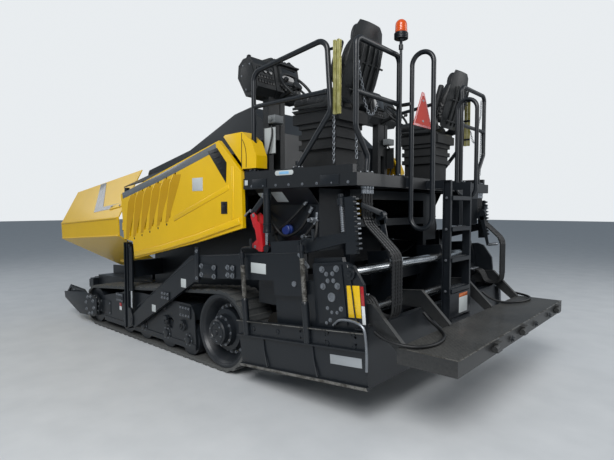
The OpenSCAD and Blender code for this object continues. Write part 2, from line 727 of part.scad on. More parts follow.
// Red travel lock ahead of each lift cylinder: a bent lever on an arm from the deck frame
module travel_locks() {
    y = arm_y + arm_t / 2;
    color("#c5302c") place() for (k = [-1, 1]) handed(k) {
        xz([[-440, 1575], [-480, 1600], [-590, 1480], [-590, 1235], [-545, 1218], [-470, 1290],
            [-540, 1320], [-520, 1420]], y - 9, y + 15);
        xz([[-485, 1562], [-440, 1585], [lift_x + 66, 1745], [lift_x + 66, deck_z - 95.3],
            [lift_x + 34, deck_z - 95.3], [lift_x + 34, 1712]], y - 8, y + 13);
    }
}

// Tow arm: boxed beam from the tow eye up to the knee and back to the screed's upright
arm_line = [[tow_x + 50, tow_z - 30], [tow_x + 44, tow_z + 44], [tow_x - 30, tow_z + 84],
    [330, 1000], [-1180, 1000], [-1180, 760], [200, 775], [tow_x - 60, tow_z - 70],
    [tow_x + 20, tow_z - 54]];
module tow_arm(side) {
    y0 = arm_y;
    y1 = arm_y + arm_t;
    color("#43474a") place() handed(side) raised() difference() {
        union() {
            xz(arm_line, y0, y1);
            xz([[-860, 640], [-1180, 640], [-1180, 1090], [-860, 1090]], y0, y1);
            xz([[-1100, 1080], [-1650, 1128], [-1650, 1052], [-1272, 988], [-1100, 958]], y0 + 4, y1 - 4);
            xz([[-1640, 965], [-1735, 965], [-1735, 1385], [-1660, 1385]], y0 + 4, y1 - 4);
            for (z = [990:36:1350]) xz([[-1734, z], [-1760, z + 8], [-1760, z + 20], [-1734, z + 28]],
                y0 + 4, y1 - 4);
        }
        across(tow_x, tow_z, 30, y0 - 10, y1 + 10);
    }
}

// Main screed frame: hollow beam with end plates that carry the extensions' guide tubes
tube_x = -1500;
tube_z = [810, 480];
module screed_frame() {
    h = screed_half;
    color("#35383b") place() raised() difference() {
        union() {
            block([screed_front, -h, 320], [screed_front + 14, h, 760]);
            block([screed_front, -h, 746], [screed_back, h, 760]);
            block([screed_back - 14, -h, 320], [screed_back, h, 420]);
            block([screed_back - 14, -h, 640], [screed_back, h, 760]);
            for (y = [-h, -420, 406, h - 14]) xz([[screed_back - 2, 58.3], [screed_front - 62, 58.3],
                [screed_front - 32, 121], [screed_front, 121], [screed_front, 760], [screed_back - 2, 760]],
                y, y + 14);
            for (y = [-h, -480, 440, h - 40]) xz([[screed_back + 10, 380], [screed_back + 10, 940],
                [tube_x - 60, 940], [tube_x - 90, 800], [tube_x - 90, 400], [tube_x - 40, 380]], y, y + 40);
            // uprights that bolt to the tow arms
            for (k = [-1, 1]) handed(k) xz([[-870, 300], [-1180, 300], [-1180, 1090], [-870, 1090]],
                h - 30, arm_y - 0.3);
            // valve blocks where the hoses end
            for (k = [-1, 1]) handed(k) {
                block([tube_x - 85, h - 210, 560], [tube_x - 40, h - 39, 690]);
                block([tube_x - 100, h - 200, 580], [tube_x - 84, h - 60, 670]);
            }
        }
        for (z = tube_z) across(tube_x, z, guide_r + 0.06, -h - 20, h + 20);
    }
}

// Heated bottom plate of the main screed with its turned-up nose
module screed_plate() {
    h = screed_half;
    color("#6a6c6e") place() raised()
        xz([[screed_front - 0, 120], [screed_front + 0, 30], [screed_front - 40, 0], [screed_back, 0],
            [screed_back, 58], [screed_front - 60, 58], [screed_front - 30, 120]], -h, h);
}

// Walkway behind the screed, hung on brackets
module walkway() {
    color("#6b6e70") place() {
        difference() {
            block([walk_back, -deck_half, 540], [walk_front, deck_half, 648]);
            block([walk_back + 14, -deck_half + 14, 530], [walk_front - 14, deck_half - 14, 640]);
        }
        for (y = [-1000, -500, 0, 500, 1000]) block([walk_back, y - 20, 545], [walk_front, y + 20, 641]);
        for (y = [-1120, -60, 560]) {
            block([walk_back - 30, y, 560], [walk_back + 1, y + 90, 630]);
            across(walk_back - 26, 600, 22, y + 90, y + 150);
        }
        // arms from the guide plates of the screed
        for (k = [-1, 1], y = [440, screed_half - 40]) handed(k) raised() xz([[tube_x - 90.3, 470],
            [tube_x - 90.3, 600], [ext_back - 30, 600], [-2030, 330], [-2030, 232], [ext_back - 20, 455]],
            y, y + 40);
    }
}

// Sliding extension: own screed box and the end plate that carries the guide tube
module extension(side) {
    c = 12;
    f = screed_back - 30;
    e = gate_y - 0.3;
    color("#3b3e41") place() handed(side) raised() {
        block([ext_back, c, 0], [f, e, 24]);
        block([ext_back, c, 22], [ext_back + 14, e, 430]);
        block([ext_back, c, 418], [ext_back + 80, e, 430]);
        block([f - 14, c, 22], [f, e, 300]);
        for (y = [c, 620, gate_y - 30]) block([ext_back, y, 22], [f, y + 14, 300]);
        block([ext_back, c, 286], [f, e, 300]);
        xz([[screed_back - 10, 290], [screed_back - 10, 900], [tube_x - 120, 910], [tube_x - 190, 880],
            [ext_back, 740], [ext_back, 290]], screed_half + 15, screed_half + 45);
        xz([[screed_back - 50, 440], [screed_back - 50, 880], [tube_x - 90, 890], [tube_x - 110, 440]],
            screed_half + 44, screed_half + 54);
        across(tube_x - 160, 820, 48, screed_half + 44, screed_half + 62);
        across(tube_x - 160, 820, 24, screed_half + 44, screed_half + 70);
    }
}

// Guide tube of each extension; the left one runs above the right one
module guide_tubes(side) {
    z = side > 0 ? tube_z[0] : tube_z[1];
    color("#c9ccd0") place() handed(side) raised()
        across(tube_x, z, guide_r, -1000, screed_half + 15);
}

// End gate: channel beam with bolt holes, the plate below it and two screw jacks
module end_gate(side) {
    y0 = gate_y;
    y1 = gate_y + gate_depth;
    color("#5d6370") place() handed(side) raised() difference() {
        union() {
            difference() {
                xz([[-400, 270], [-400, 410], [-1800, 410], [-1800, 270]], y0, y1);
                xz([[-388, 282], [-388, 398], [-1812, 398], [-1812, 282]], y0 + 12, y1 + 1);
            }
            xz([[-425, 8], [-400, 272], [-1800, 272], [-1775, 8]], y0, y0 + 12);
            block([-1785, y0, 0], [-415, y1 - 4, 26]);
            for (j = [[-520, 1010], [-1240, 1050]]) {
                translate([j[0], y0 + 22, 285]) cylinder(r = 30, h = 300);
                translate([j[0], y0 + 22, 580]) cylinder(r = 17, h = j[1] - 620);
                translate([j[0], y0 + 22, j[1] - 48]) cylinder(r = 26, h = 48);
            }
        }
        for (x = [-1160, -1420, -1700], z = [315, 365]) across(x, z, 9, y0 - 5, y1 + 5);
    }
}

// Auger gearbox at the middle, hung from the rear of the frame
module auger_gearbox() {
    color("#3a3d40") place() {
        xz([[auger_x - 95, 370], [auger_x + 95, 370], [auger_x + 95, 560], [-chassis_back - 0.3, 700],
            [-chassis_back - 0.3, 1000], [auger_x - 60, 1000], [auger_x - 95, 600]], -45, 45);
        across(auger_x, 455, 70, -60, 60);
        across(auger_x, 455, 24.94, -105, 105);
    }
}

// Auger: shaft with a helical blade swept round it by steps
module auger(side) {
    y0 = 70;
    y1 = 1150;
    n = 20;
    steps = auger_turns * n;
    lead = (y1 - y0 - 60) / auger_turns;
    ring = [for (i = [0:steps]) let(a = i * 360 / n, y = y0 + 20 + i * lead / n)
        for (p = [[30, 0], [auger_r, 0], [auger_r, 14], [30, 14]])
            [auger_x + p[0] * cos(a), y + p[1], 455 + p[0] * sin(a)]];
    // two triangles a step on each face, on the same diagonal in front and behind
    skin = [for (i = [0:steps - 1]) let(a = 4 * i, b = 4 * i + 4) each
        [[a, b + 1, a + 1], [a, b, b + 1], [a + 1, b + 2, a + 2], [a + 1, b + 1, b + 2],
            [a + 2, b + 2, a + 3], [a + 3, b + 2, b + 3], [a + 3, b + 3, a], [a, b + 3, b]]];
    color("#6d665c") place() handed(side) {
        difference() {
            across(auger_x, 455, 38, y0, y1);
            across(auger_x, 455, 25, y0 - 1, y0 + 40);
        }
        polyhedron(ring, concat([[0, 1, 2, 3]], skin,
            [[4 * steps + 3, 4 * steps + 2, 4 * steps + 1, 4 * steps]]));
    }
}

chassis();
conveyor();
track_frame(1);  // track_frame_left
track_frame(-1);  // track_frame_right
belt(1);  // belt_left
belt(-1);  // belt_right
drive_wheel(1);  // drive_wheel_left
drive_wheel(-1);  // drive_wheel_right
engine_block();
engine_hood();
door_posts();
body_corners();
door(1);  // door_left
door(-1);  // door_right
wing(1);  // wing_left
wing(-1);  // wing_right
wing_cylinders();
push_beam();
push_roller(1);  // push_roller_left
push_roller(-1);  // push_roller_right
auger_gearbox();
auger(1);  // auger_left
auger(-1);  // auger_right
tow_guides();
lift_cylinders();
travel_locks();
tow_arm(1);  // tow_arm_left
tow_arm(-1);  // tow_arm_right
screed_frame();
screed_plate();
walkway();
extension(1);  // extension_left
extension(-1);  // extension_right
guide_tubes(1);  // guide_tubes_left
guide_tubes(-1);  // guide_tubes_right
end_gate(1);  // end_gate_left
end_gate(-1);  // end_gate_right
deck();
rear_frame();
hoses(1);  // hoses_left
hoses(-1);  // hoses_right
ladder();
guard_rail(1);  // guard_rail_left
guard_rail(-1);  // guard_rail_right
grab_hoops();
beacon();
seat(1);  // seat_left
seat(-1);  // seat_right
seat_base(1);  // seat_base_left
seat_base(-1);  // seat_base_right
console(1);  // console_left
console(-1);  // console_right
slow_sign();
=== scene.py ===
import math

import bmesh
import bpy
from mathutils import Matrix, Vector


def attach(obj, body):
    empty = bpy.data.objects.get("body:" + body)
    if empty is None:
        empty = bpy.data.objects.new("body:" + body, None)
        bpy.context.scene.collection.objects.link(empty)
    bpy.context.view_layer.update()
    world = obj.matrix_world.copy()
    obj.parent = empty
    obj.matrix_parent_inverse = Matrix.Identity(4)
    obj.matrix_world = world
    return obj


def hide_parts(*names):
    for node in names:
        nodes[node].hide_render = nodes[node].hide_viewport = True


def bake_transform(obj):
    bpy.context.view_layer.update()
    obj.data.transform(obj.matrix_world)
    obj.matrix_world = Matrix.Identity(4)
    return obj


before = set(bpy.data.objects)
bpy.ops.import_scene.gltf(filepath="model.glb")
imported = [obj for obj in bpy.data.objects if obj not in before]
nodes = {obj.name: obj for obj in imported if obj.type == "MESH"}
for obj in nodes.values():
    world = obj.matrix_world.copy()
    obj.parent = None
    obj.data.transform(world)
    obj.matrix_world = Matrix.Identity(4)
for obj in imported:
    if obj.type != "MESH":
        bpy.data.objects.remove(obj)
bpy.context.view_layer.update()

# Stage and camera
# A pale floor and backdrop under large soft lamps. The camera stands where the photographer stood, off
# the left rear corner at head height, looking forward along the machine.
AXLE = -0.691       # the rear drive axle in the frame: lengths ahead of it are given from there, in metres
SIDES = {"left": 1, "right": -1}


def at(x, y, z):
    """A point in the frame from its length ahead of the drive axle, its width and its height."""
    return Vector((x + AXLE, y, z))


def colour(text):
    """An sRGB hex value as linear red, green, blue and alpha."""
    parts = [int(text[i:i + 2], 16) / 255 for i in (1, 3, 5)]
    return [p / 12.92 if p <= 0.04045 else ((p + 0.055) / 1.055) ** 2.4 for p in parts] + [1.0]


def add(tree, kind, inputs=(), **settings):
    """Adds one node: settings are its own properties, inputs its sockets' values or links."""
    node = tree.nodes.new("ShaderNode" + kind)
    for key, value in settings.items():
        setattr(node, key, value)
    for key, value in dict(inputs).items():
        if isinstance(value, bpy.types.NodeSocket):
            tree.links.new(value, node.inputs[key])
        else:
            node.inputs[key].default_value = value
    return node


def finish(name, hexcolour, roughness, metallic=0.0, **sockets):
    """A new material with one principled shader; returns the material, its tree and the shader."""
    material = bpy.data.materials.new(name)
    material.use_nodes = True
    shader = material.node_tree.nodes["Principled BSDF"]
    for key, value in {"Base Color": colour(hexcolour), "Roughness": roughness, "Metallic": metallic,
                       **sockets}.items():
        shader.inputs[key].default_value = value
    return material, material.node_tree, shader


camera = bpy.data.objects.new("camera", bpy.data.cameras.new("camera"))
camera.data.sensor_width = 36
camera.data.lens = 27.03
camera.location = at(-3.586, 3.99, 1.6)
camera.rotation_euler = (math.radians(87.27), 0, math.radians(-138.4))
camera.data.clip_end = 200
bpy.context.collection.objects.link(camera)
bpy.context.scene.camera = camera

world = bpy.data.worlds.new("studio")
bpy.context.scene.world = world
world.use_nodes = True
world_tree = world.node_tree
soft = world_tree.nodes["Background"]
soft.inputs["Color"].default_value = colour("#cddbe9")
soft.inputs["Strength"].default_value = 0.34
seen = add(world_tree, "Background", {"Color": colour("#eef2f5"), "Strength": 0.95})
camera_ray = add(world_tree, "LightPath").outputs["Is Camera Ray"]
both = add(world_tree, "MixShader", {0: camera_ray, 1: soft.outputs[0], 2: seen.outputs[0]})
world_tree.links.new(both.outputs[0], world_tree.nodes["World Output"].inputs["Surface"])

for name, place, size, power in (("key", (-5.5, 7.5, 7.5), 5.0, 900), ("fill", (-8, -5, 5), 6.0, 300),
                                 ("front", (7.5, 4, 6), 5.0, 130)):
    lamp = bpy.data.objects.new("lamp_" + name, bpy.data.lights.new(name, "AREA"))
    lamp.data.size = size
    lamp.data.energy = power
    lamp.location = place
    lamp.rotation_euler = (Vector((0, 0, 1.2)) - Vector(place)).to_track_quat("-Z", "Y").to_euler()
    bpy.context.collection.objects.link(lamp)

ground = bmesh.new()
bmesh.ops.create_grid(ground, x_segments=2, y_segments=2, size=60)
bmesh.ops.translate(ground, verts=ground.verts, vec=(0, 0, -0.002))
floor_mesh = bpy.data.meshes.new("floor")
ground.to_mesh(floor_mesh)
ground.free()
floor = bpy.data.objects.new("floor", floor_mesh)
bpy.context.collection.objects.link(floor)
concrete, tree, shader = finish("pale_screeded_concrete", "#c9cbcc", 0.75)
grain = add(tree, "TexNoise", {"Scale": 3.0, "Detail": 8.0,
                               "Vector": add(tree, "TexCoord").outputs["Object"]})
tone = add(tree, "ValToRGB", {"Fac": grain.outputs["Fac"]})
tone.color_ramp.elements[0].color = colour("#bfc2c4")
tone.color_ramp.elements[1].color = colour("#d4d6d7")
tree.links.new(tone.outputs["Color"], shader.inputs["Base Color"])
floor.data.materials.append(concrete)

# Yellow body panels: doors, hopper wings and rear corners
# Pressed and bent sheet steel with a two-pack enamel: glossy, with the faint orange peel of a sprayed
# coat, and a thin film of asphalt dust that settles on what faces up.


def dusted(name, paint, dust, roughness, film, coat=0.0, peel=0.02):
    """Sprayed paint: its tone wanders a little, dust lies on upward faces and near the ground."""
    material, tree, shader = finish(name, paint, roughness, **{"Coat Weight": coat, "Coat Roughness": 0.12})
    where = add(tree, "TexCoord").outputs["Object"]
    up = add(tree, "SeparateXYZ", {"Vector": add(tree, "NewGeometry").outputs["Normal"]})
    cloud = add(tree, "TexNoise", {"Vector": where, "Scale": 2.6, "Detail": 9.0, "Roughness": 0.62})
    speck = add(tree, "TexNoise", {"Vector": where, "Scale": 60.0, "Detail": 4.0})
    faces_up = add(tree, "MapRange", {"Value": up.outputs["Z"], "From Min": 0.1, "From Max": 0.95})
    spread = add(tree, "Math", {0: faces_up.outputs[0], 1: cloud.outputs["Fac"]}, operation="MULTIPLY")
    low = add(tree, "MapRange", {"Value": add(tree, "SeparateXYZ", {"Vector": where}).outputs["Z"],
                                 "From Min": 0.9, "From Max": 0.1, "To Max": 0.55})
    more = add(tree, "Math", {0: spread.outputs[0], 1: low.outputs[0]}, operation="MAXIMUM")
    grit = add(tree, "Math", {0: more.outputs[0], 1: speck.outputs["Fac"]}, operation="MULTIPLY")
    amount = add(tree, "Math", {0: grit.outputs[0], 1: film}, operation="MULTIPLY", use_clamp=True)
    tone = add(tree, "HueSaturation", {"Color": colour(paint), "Value": add(tree, "MapRange", {
        "Value": cloud.outputs["Fac"], "To Min": 0.9, "To Max": 1.1}).outputs[0]})
    mixed = add(tree, "Mix", {"Factor": amount.outputs[0], "A": tone.outputs["Color"], "B": colour(dust)},
                data_type="RGBA")
    tree.links.new(mixed.outputs["Result"], shader.inputs["Base Color"])
    rough = add(tree, "MapRange", {"Value": amount.outputs[0], "To Min": roughness,
                                   "To Max": min(0.95, roughness + 0.4)})
    tree.links.new(rough.outputs[0], shader.inputs["Roughness"])
    skin = add(tree, "TexNoise", {"Vector": where, "Scale": 240.0, "Detail": 2.0})
    bump = add(tree, "Bump", {"Height": skin.outputs["Fac"], "Strength": peel, "Distance": 0.002})
    tree.links.new(bump.outputs[0], shader.inputs["Normal"])
    return material


def dress(material, *names):
    """Gives CAD nodes their material in place of the plain one that they come with."""
    for name in names:
        nodes[name].data.materials.clear()
        nodes[name].data.materials.append(material)


yellow_enamel = dusted("yellow_two_pack_enamel", "#e0b400", "#8d7418", 0.34, 0.1, coat=0.12)
dress(yellow_enamel, "door_left", "door_right", "wing_left", "wing_right", "body_corners")

# Black and charcoal steelwork
# Plate and tube welded up, then primed and sprayed a near-black satin. Dust greys its lower parts and
# its upward faces; the engine hood is the same paint kept cleaner.
black_enamel = dusted("black_satin_enamel", "#0a1016", "#424549", 0.4, 0.38, coat=0.08, peel=0.04)
hood_enamel = dusted("charcoal_hood_enamel", "#14191d", "#505254", 0.38, 0.22, coat=0.1, peel=0.04)
dress(black_enamel, "chassis", "track_frame_left", "track_frame_right", "drive_wheel_left",
      "drive_wheel_right", "door_posts", "wing_cylinders", "push_beam", "auger_gearbox", "tow_guides",
      "tow_arm_left", "tow_arm_right", "screed_frame", "extension_left", "extension_right", "end_gate_left",
      "end_gate_right", "deck", "rear_frame", "ladder", "guard_rail_left", "guard_rail_right", "grab_hoops",
      "lift_cylinders")
dress(hood_enamel, "engine_hood")

# Rubber tracks
# Each belt is moulded rubber over steel cords, with tread bars across it. The rubber is matt and greyed
# by dried asphalt dust, most on the tread and the top run.
belt_rubber = dusted("dusty_track_rubber", "#2c3033", "#84827c", 0.82, 1.0, peel=0.35)
dress(belt_rubber, "belt_left", "belt_right")

# Track frames' fittings
# Bolted covers, bearing caps and tie plates of painted steel on the outer side of each track frame, held
# by plated hexagon screws. Two rings for tying down are welded on, and lugs inside the belt guide it.


def piece(name, mesh, material, body, flat=35):
    """An object made from a bmesh, riding on a body if one is named. Edges above flat degrees stay sharp."""
    bmesh.ops.remove_doubles(mesh, verts=mesh.verts, dist=0.00002)
    bmesh.ops.recalc_face_normals(mesh, faces=mesh.faces)
    data = bpy.data.meshes.new(name)
    mesh.to_mesh(data)
    mesh.free()
    data.shade_smooth()
    data.set_sharp_from_angle(angle=math.radians(flat))
    data.materials.append(material)
    made = bpy.data.objects.new(name, data)
    bpy.context.collection.objects.link(made)
    if body:
        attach(made, body)
    return made


def slab(mesh, points, thickness, bevel=0.0015):
    """A flat plate: its outline as points in one plane, and its thickness as a vector."""
    made = bmesh.ops.extrude_face_region(mesh, geom=[mesh.faces.new([mesh.verts.new(p) for p in points])])
    top = [g for g in made["geom"] if isinstance(g, bmesh.types.BMVert)]
    bmesh.ops.translate(mesh, verts=top, vec=thickness)
    if bevel:
        rim = list({e for v in top for e in v.link_edges if all(u in top for u in e.verts)})
        bmesh.ops.bevel(mesh, geom=rim, offset=bevel, offset_type="OFFSET", segments=2, profile=0.5,
                        affect="EDGES", material=-1)


def side_plate(mesh, side, outline, y, thickness, bevel=0.0015):
    """A plate on the machine's flank: outline in length and height, from y outwards."""
    slab(mesh, [at(px, side * y, pz) for px, pz in outline], Vector((0, side * thickness, 0)), bevel)


def on_side(side, points, place=at):
    """Points given for the left side, taken over to the side asked for."""
    return [place(x, side * y, z) for x, y, z in points]


def rectangle(x0, z0, x1, z1):
    """The corners of an upright rectangle, in length and height."""
    return [(x0, z0), (x1, z0), (x1, z1), (x0, z1)]


def turned(mesh, centre, normal, profile, segments=24):
    """A round part: profile is a list of radius and distance along the normal from the centre."""
    turn = Vector(normal).to_track_quat("Z", "Y").to_matrix().to_4x4()
    outline = [mesh.verts.new(turn @ Vector((r, 0, h)) + Vector(centre)) for r, h in profile]
    edges = [mesh.edges.new(pair) for pair in zip(outline, outline[1:])]
    bmesh.ops.spin(mesh, geom=outline + edges, cent=centre, axis=normal, angle=2 * math.pi, steps=segments,
                   use_merge=True)


def screw(mesh, centre, normal, size=0.010):
    """A hexagon head on its washer; size is the head's half width over the corners."""
    turn = Matrix.Translation(centre) @ Vector(normal).to_track_quat("Z", "Y").to_matrix().to_4x4()
    for sides, radius, low, high in ((14, 1.55 * size, 0.0, 0.22 * size),
                                     (6, size, 0.22 * size, 0.95 * size)):
        bmesh.ops.create_cone(mesh, cap_ends=True, segments=sides, radius1=radius, radius2=radius * 0.94,
                              depth=high - low, matrix=turn @ Matrix.Translation((0, 0, (low + high) / 2)))


def ring_of(count, radius, start=0.0):
    """Places spaced evenly round a circle, as offsets along and up."""
    turns = [start + i * 2 * math.pi / count for i in range(count)]
    return [(radius * math.cos(turn), radius * math.sin(turn)) for turn in turns]


def join(mesh, rows, around=False):
    """Faces between each row of vertices and the next; around closes every row on itself."""
    for low, high in zip(rows, rows[1:]):
        for k in range(len(low) if around else len(low) - 1):
            n = (k + 1) % len(low)
            mesh.faces.new((low[k], low[n], high[n], high[k]))


def weathered(name, hexcolour, roughness, metallic, scale, detail, gloss, **sockets):
    """A finish whose roughness wanders in patches between the two values of gloss."""
    material, tree, shader = finish(name, hexcolour, roughness, metallic, **sockets)
    cloud = add(tree, "TexNoise", {"Vector": add(tree, "TexCoord").outputs["Object"], "Scale": scale,
                                   "Detail": detail})
    rough = add(tree, "MapRange", {"Value": cloud.outputs["Fac"], "To Min": gloss[0], "To Max": gloss[1]})
    tree.links.new(rough.outputs[0], shader.inputs["Roughness"])
    return material


# zinc plating is grey and half bright, and dulls in spots
zinc = weathered("zinc_plated_steel", "#8e9297", 0.38, 0.9, 45.0, 6.0, (0.28, 0.6))
IDLER = (2.76, 0.272)
DRIVE = (0.0, 0.4)
BOGIES = (0.56, 0.98, 1.48, 1.9)
FRAME = 1.2078                       # the side plates' outer face, from the middle plane
GUARD = 1.2298                       # the front guard's outer face
for name, side in SIDES.items():
    out = Vector((0, side, 0))
    steel, heads, lugs = bmesh.new(), bmesh.new(), bmesh.new()
    # the idler's cover ring and bearing cap, then the drive wheel's rim flange and planetary hub
    for (x, z), y, profile, facets in (
            (IDLER, GUARD, [(0.148, 0), (0.146, 0.006), (0.1, 0.009)], 48),
            (IDLER, 1.2415, [(0.09, 0), (0.088, 0.01), (0.06, 0.014), (0.052, 0.022), (0.0, 0.024)], 40),
            (DRIVE, 1.2048, [(0.36, 0), (0.358, 0.005), (0.335, 0.006), (0.325, -0.002)], 64),
            (DRIVE, 1.276, [(0.106, 0), (0.103, 0.008), (0.07, 0.012), (0.064, 0.004), (0.03, 0.004),
                            (0.024, 0.016), (0, 0.018)], 40)):
        turned(steel, at(x, side * y, z), out, profile, facets)
    # rings of screws: centre, face, how many, the ring's radius, where it starts and the head's size
    for (x, z), y, count, radius, start, size in (
            (IDLER, 1.2375, 12, 0.124, 0.0, 0.009), (IDLER, 1.253, 6, 0.074, 0.0, 0.007),
            (DRIVE, 1.2125, 12, 0.139, 0.0, 0.010), (DRIVE, 1.0835, 20, 0.232, 0.0, 0.012),
            (DRIVE, 1.2855, 6, 0.085, 0.3, 0.006), ((2.81, 0.272), 1.2765, 8, 0.12, 0.2, 0.016)):
        for dx, dz in ring_of(count, radius, start):
            screw(heads, at(x + dx, side * y, z + dz), out, size)
    # bogie caps, with the ribbed hub plate behind each
    for x in BOGIES:
        turned(steel, at(x, side * 1.2235, 0.203), out,
               [(0.041, 0), (0.039, 0.006), (0.026, 0.009), (0.0, 0.010)], 28)
        turned(steel, at(x, side * 1.208, 0.203), out, [(0.075, 0), (0.073, 0.007), (0.044, 0.009)], 28)
        for dx, dz in ring_of(6, 0.06):
            screw(heads, at(x + dx, side * 1.215, 0.203 + dz), out, 0.006)
    # bolted pads for the cross tubes, then the tensioner's cover and the front tie
    for x0, z0, x1, z1 in ((0.52, 0.43, 0.72, 0.56), (1.98, 0.40, 2.16, 0.52)):
        side_plate(steel, side, rectangle(x0, z0, x1, z1), FRAME, 0.012, 0.003)
        for i in range(4):
            for z in (z0 + 0.025, z1 - 0.025):
                screw(heads, at(x0 + 0.025 + i * (x1 - x0 - 0.05) / 3, side * 1.2195, z), out, 0.009)
    side_plate(steel, side, [(1.0, 0.46), (1.42, 0.45), (1.42, 0.53), (1.0, 0.54)], FRAME, 0.005, 0.002)
    side_plate(steel, side, [(2.33, 0.2), (2.62, 0.205), (2.62, 0.36), (2.33, 0.385)], FRAME, 0.006, 0.002)
    for x in (2.35, 2.6):
        for z in (0.22, 0.345):
            screw(heads, at(x, side * 1.2136, z), out, 0.008)
    # front guard: folded stiffener, its screws, and gusset under the hopper frame
    side_plate(steel, side, [(3.02, 0.425), (3.1, 0.44), (3.54, 0.455), (3.66, 0.345), (3.64, 0.33),
                             (3.53, 0.43), (3.1, 0.416), (3.03, 0.4)], 1.2295, 0.014, 0.002)
    for x, z in ((2.96, 0.36), (3.06, 0.22), (3.3, 0.24), (3.5, 0.27), (3.64, 0.28), (3.2, 0.38),
                 (3.45, 0.4)):
        screw(heads, at(x, side * GUARD, z), out, 0.010)
    # cover over the idler, drawn out to a point ahead of the track, on its spacer
    side_plate(steel, side, [(2.605, 0.385), (2.62, 0.17), (2.69, 0.13), (3.15, 0.105), (3.66, 0.27),
                             (3.68, 0.36), (3.0, 0.43), (2.78, 0.425)], 1.2668, 0.01, 0.004)
    side_plate(steel, side, [(2.66, 0.36), (2.67, 0.19), (2.75, 0.16), (3.0, 0.15), (3.05, 0.37),
                             (2.8, 0.39)],
               GUARD, 0.0372, 0.002)
    # two rings near the rear bogies, each on its welded foot
    for (x, z), radius, thick in (((0.66, 0.33), 0.042, 0.011), ((0.98, 0.33), 0.03, 0.008)):
        rings = []
        for along, up in ring_of(16, radius):
            away = Vector((along, 0, up)).normalized()
            rings.append([steel.verts.new(at(x + along, side * 1.226, z + up) + wide * away + proud * out)
                          for wide, proud in ring_of(8, thick)])
        join(steel, rings + rings[:1], around=True)
        side_plate(steel, side, rectangle(x - 0.03, z + 0.03, x + 0.03, z + 0.07), FRAME, 0.03, 0.004)
    piece("track_covers_" + name, steel, black_enamel, "paver")
    piece("track_screws_" + name, heads, zinc, "paver")
    # belt guide lugs inside the loop, one between each pair of bogie wheels' tyres
    for i in range(18):
        x = 0.14 + i * 0.145
        slab(lugs, on_side(side, ((x, 1.02, 0.038), (x + 0.06, 1.02, 0.038), (x + 0.045, 1.02, 0.085),
                                  (x + 0.015, 1.02, 0.085))), Vector((0, side * 0.03, 0)), 0.004)
    piece("belt_lugs_" + name, lugs, belt_rubber, "paver")

# Reflectors and marker plates
# Self-adhesive sheet with small prisms under a clear face, in signal red and white, stuck to the steel. The
# marker plates on other pieces are polyester or thin anodised aluminium, left blank.


def prismatic(name, hexcolour):
    """Reflective sheet: small prisms under a clear face, drawn coarse enough to show."""
    material, tree, shader = finish(name, hexcolour, 0.22, **{"Coat Weight": 0.6})
    cells = add(tree, "TexVoronoi", {"Vector": add(tree, "TexCoord").outputs["Object"], "Scale": 280.0},
                distance="CHEBYCHEV")
    bump = add(tree, "Bump", {"Height": cells.outputs["Distance"], "Strength": 0.3, "Distance": 0.001})
    tree.links.new(bump.outputs[0], shader.inputs["Normal"])
    return material


red_prism = prismatic("red_prismatic_sheet", "#a3181c")
white_prism = prismatic("white_prismatic_sheet", "#d9dcdd")
# the polyester labels are blank, matt and a little dusty
label = dusted("blank_white_polyester_label", "#b9bebd", "#7d7c76", 0.4, 0.25)
# the anodised plates are brushed along their length, so their gloss runs in fine lines
anodised, tree, shader = finish("blank_anodised_aluminium", "#b9bdc0", 0.42, 0.75)
stretched = add(tree, "Mapping", {"Vector": add(tree, "TexCoord").outputs["Object"],
                                  "Scale": (6.0, 6.0, 220.0)})
brushed = add(tree, "TexNoise", {"Vector": stretched.outputs[0], "Scale": 4.0})
gloss = add(tree, "MapRange", {"Value": brushed.outputs["Fac"], "To Min": 0.32, "To Max": 0.58})
tree.links.new(gloss.outputs[0], shader.inputs["Roughness"])
for name, side in SIDES.items():
    red, white = bmesh.new(), bmesh.new()
    side_plate(red, side, rectangle(2.04, 0.35, 2.09, 0.398), FRAME, 0.003, 0.001)
    side_plate(white, side, rectangle(2.04, 0.30, 2.09, 0.348), FRAME, 0.003, 0.001)
    piece("track_reflector_red_" + name, red, red_prism, "paver")
    piece("track_reflector_white_" + name, white, white_prism, "paver")

# Parts worn bright or coated with asphalt
# The conveyor floor, augers, screed plate and push rollers are bare wear steel: brown-black with baked
# bitumen where the mix sticks, and scuffed grey where it slides.


def bitumen(name, metal, film, amount):
    """Bare steel under a crust of baked bitumen; amount is how much of it the crust takes."""
    material, tree, shader = finish(name, metal, 0.45, 0.85)
    where = add(tree, "TexCoord").outputs["Object"]
    crust = add(tree, "TexNoise", {"Vector": where, "Scale": 9.0, "Detail": 10.0, "Roughness": 0.7})
    edge = add(tree, "ValToRGB", {"Fac": crust.outputs["Fac"]})
    edge.color_ramp.elements[0].position = 0.5 - 0.3 * amount
    edge.color_ramp.elements[1].position = 0.62 - 0.25 * amount
    mixed = add(tree, "Mix", {"Factor": edge.outputs["Color"], "A": colour(metal), "B": colour(film)},
                data_type="RGBA")
    tree.links.new(mixed.outputs["Result"], shader.inputs["Base Color"])
    metallic = add(tree, "MapRange", {"Value": edge.outputs["Color"], "To Min": 0.9, "To Max": 0.1})
    tree.links.new(metallic.outputs[0], shader.inputs["Metallic"])
    rough = add(tree, "MapRange", {"Value": edge.outputs["Color"], "To Min": 0.35, "To Max": 0.8})
    tree.links.new(rough.outputs[0], shader.inputs["Roughness"])
    bump = add(tree, "Bump", {"Height": crust.outputs["Fac"], "Strength": 0.5, "Distance": 0.004})
    tree.links.new(bump.outputs[0], shader.inputs["Normal"])
    return material


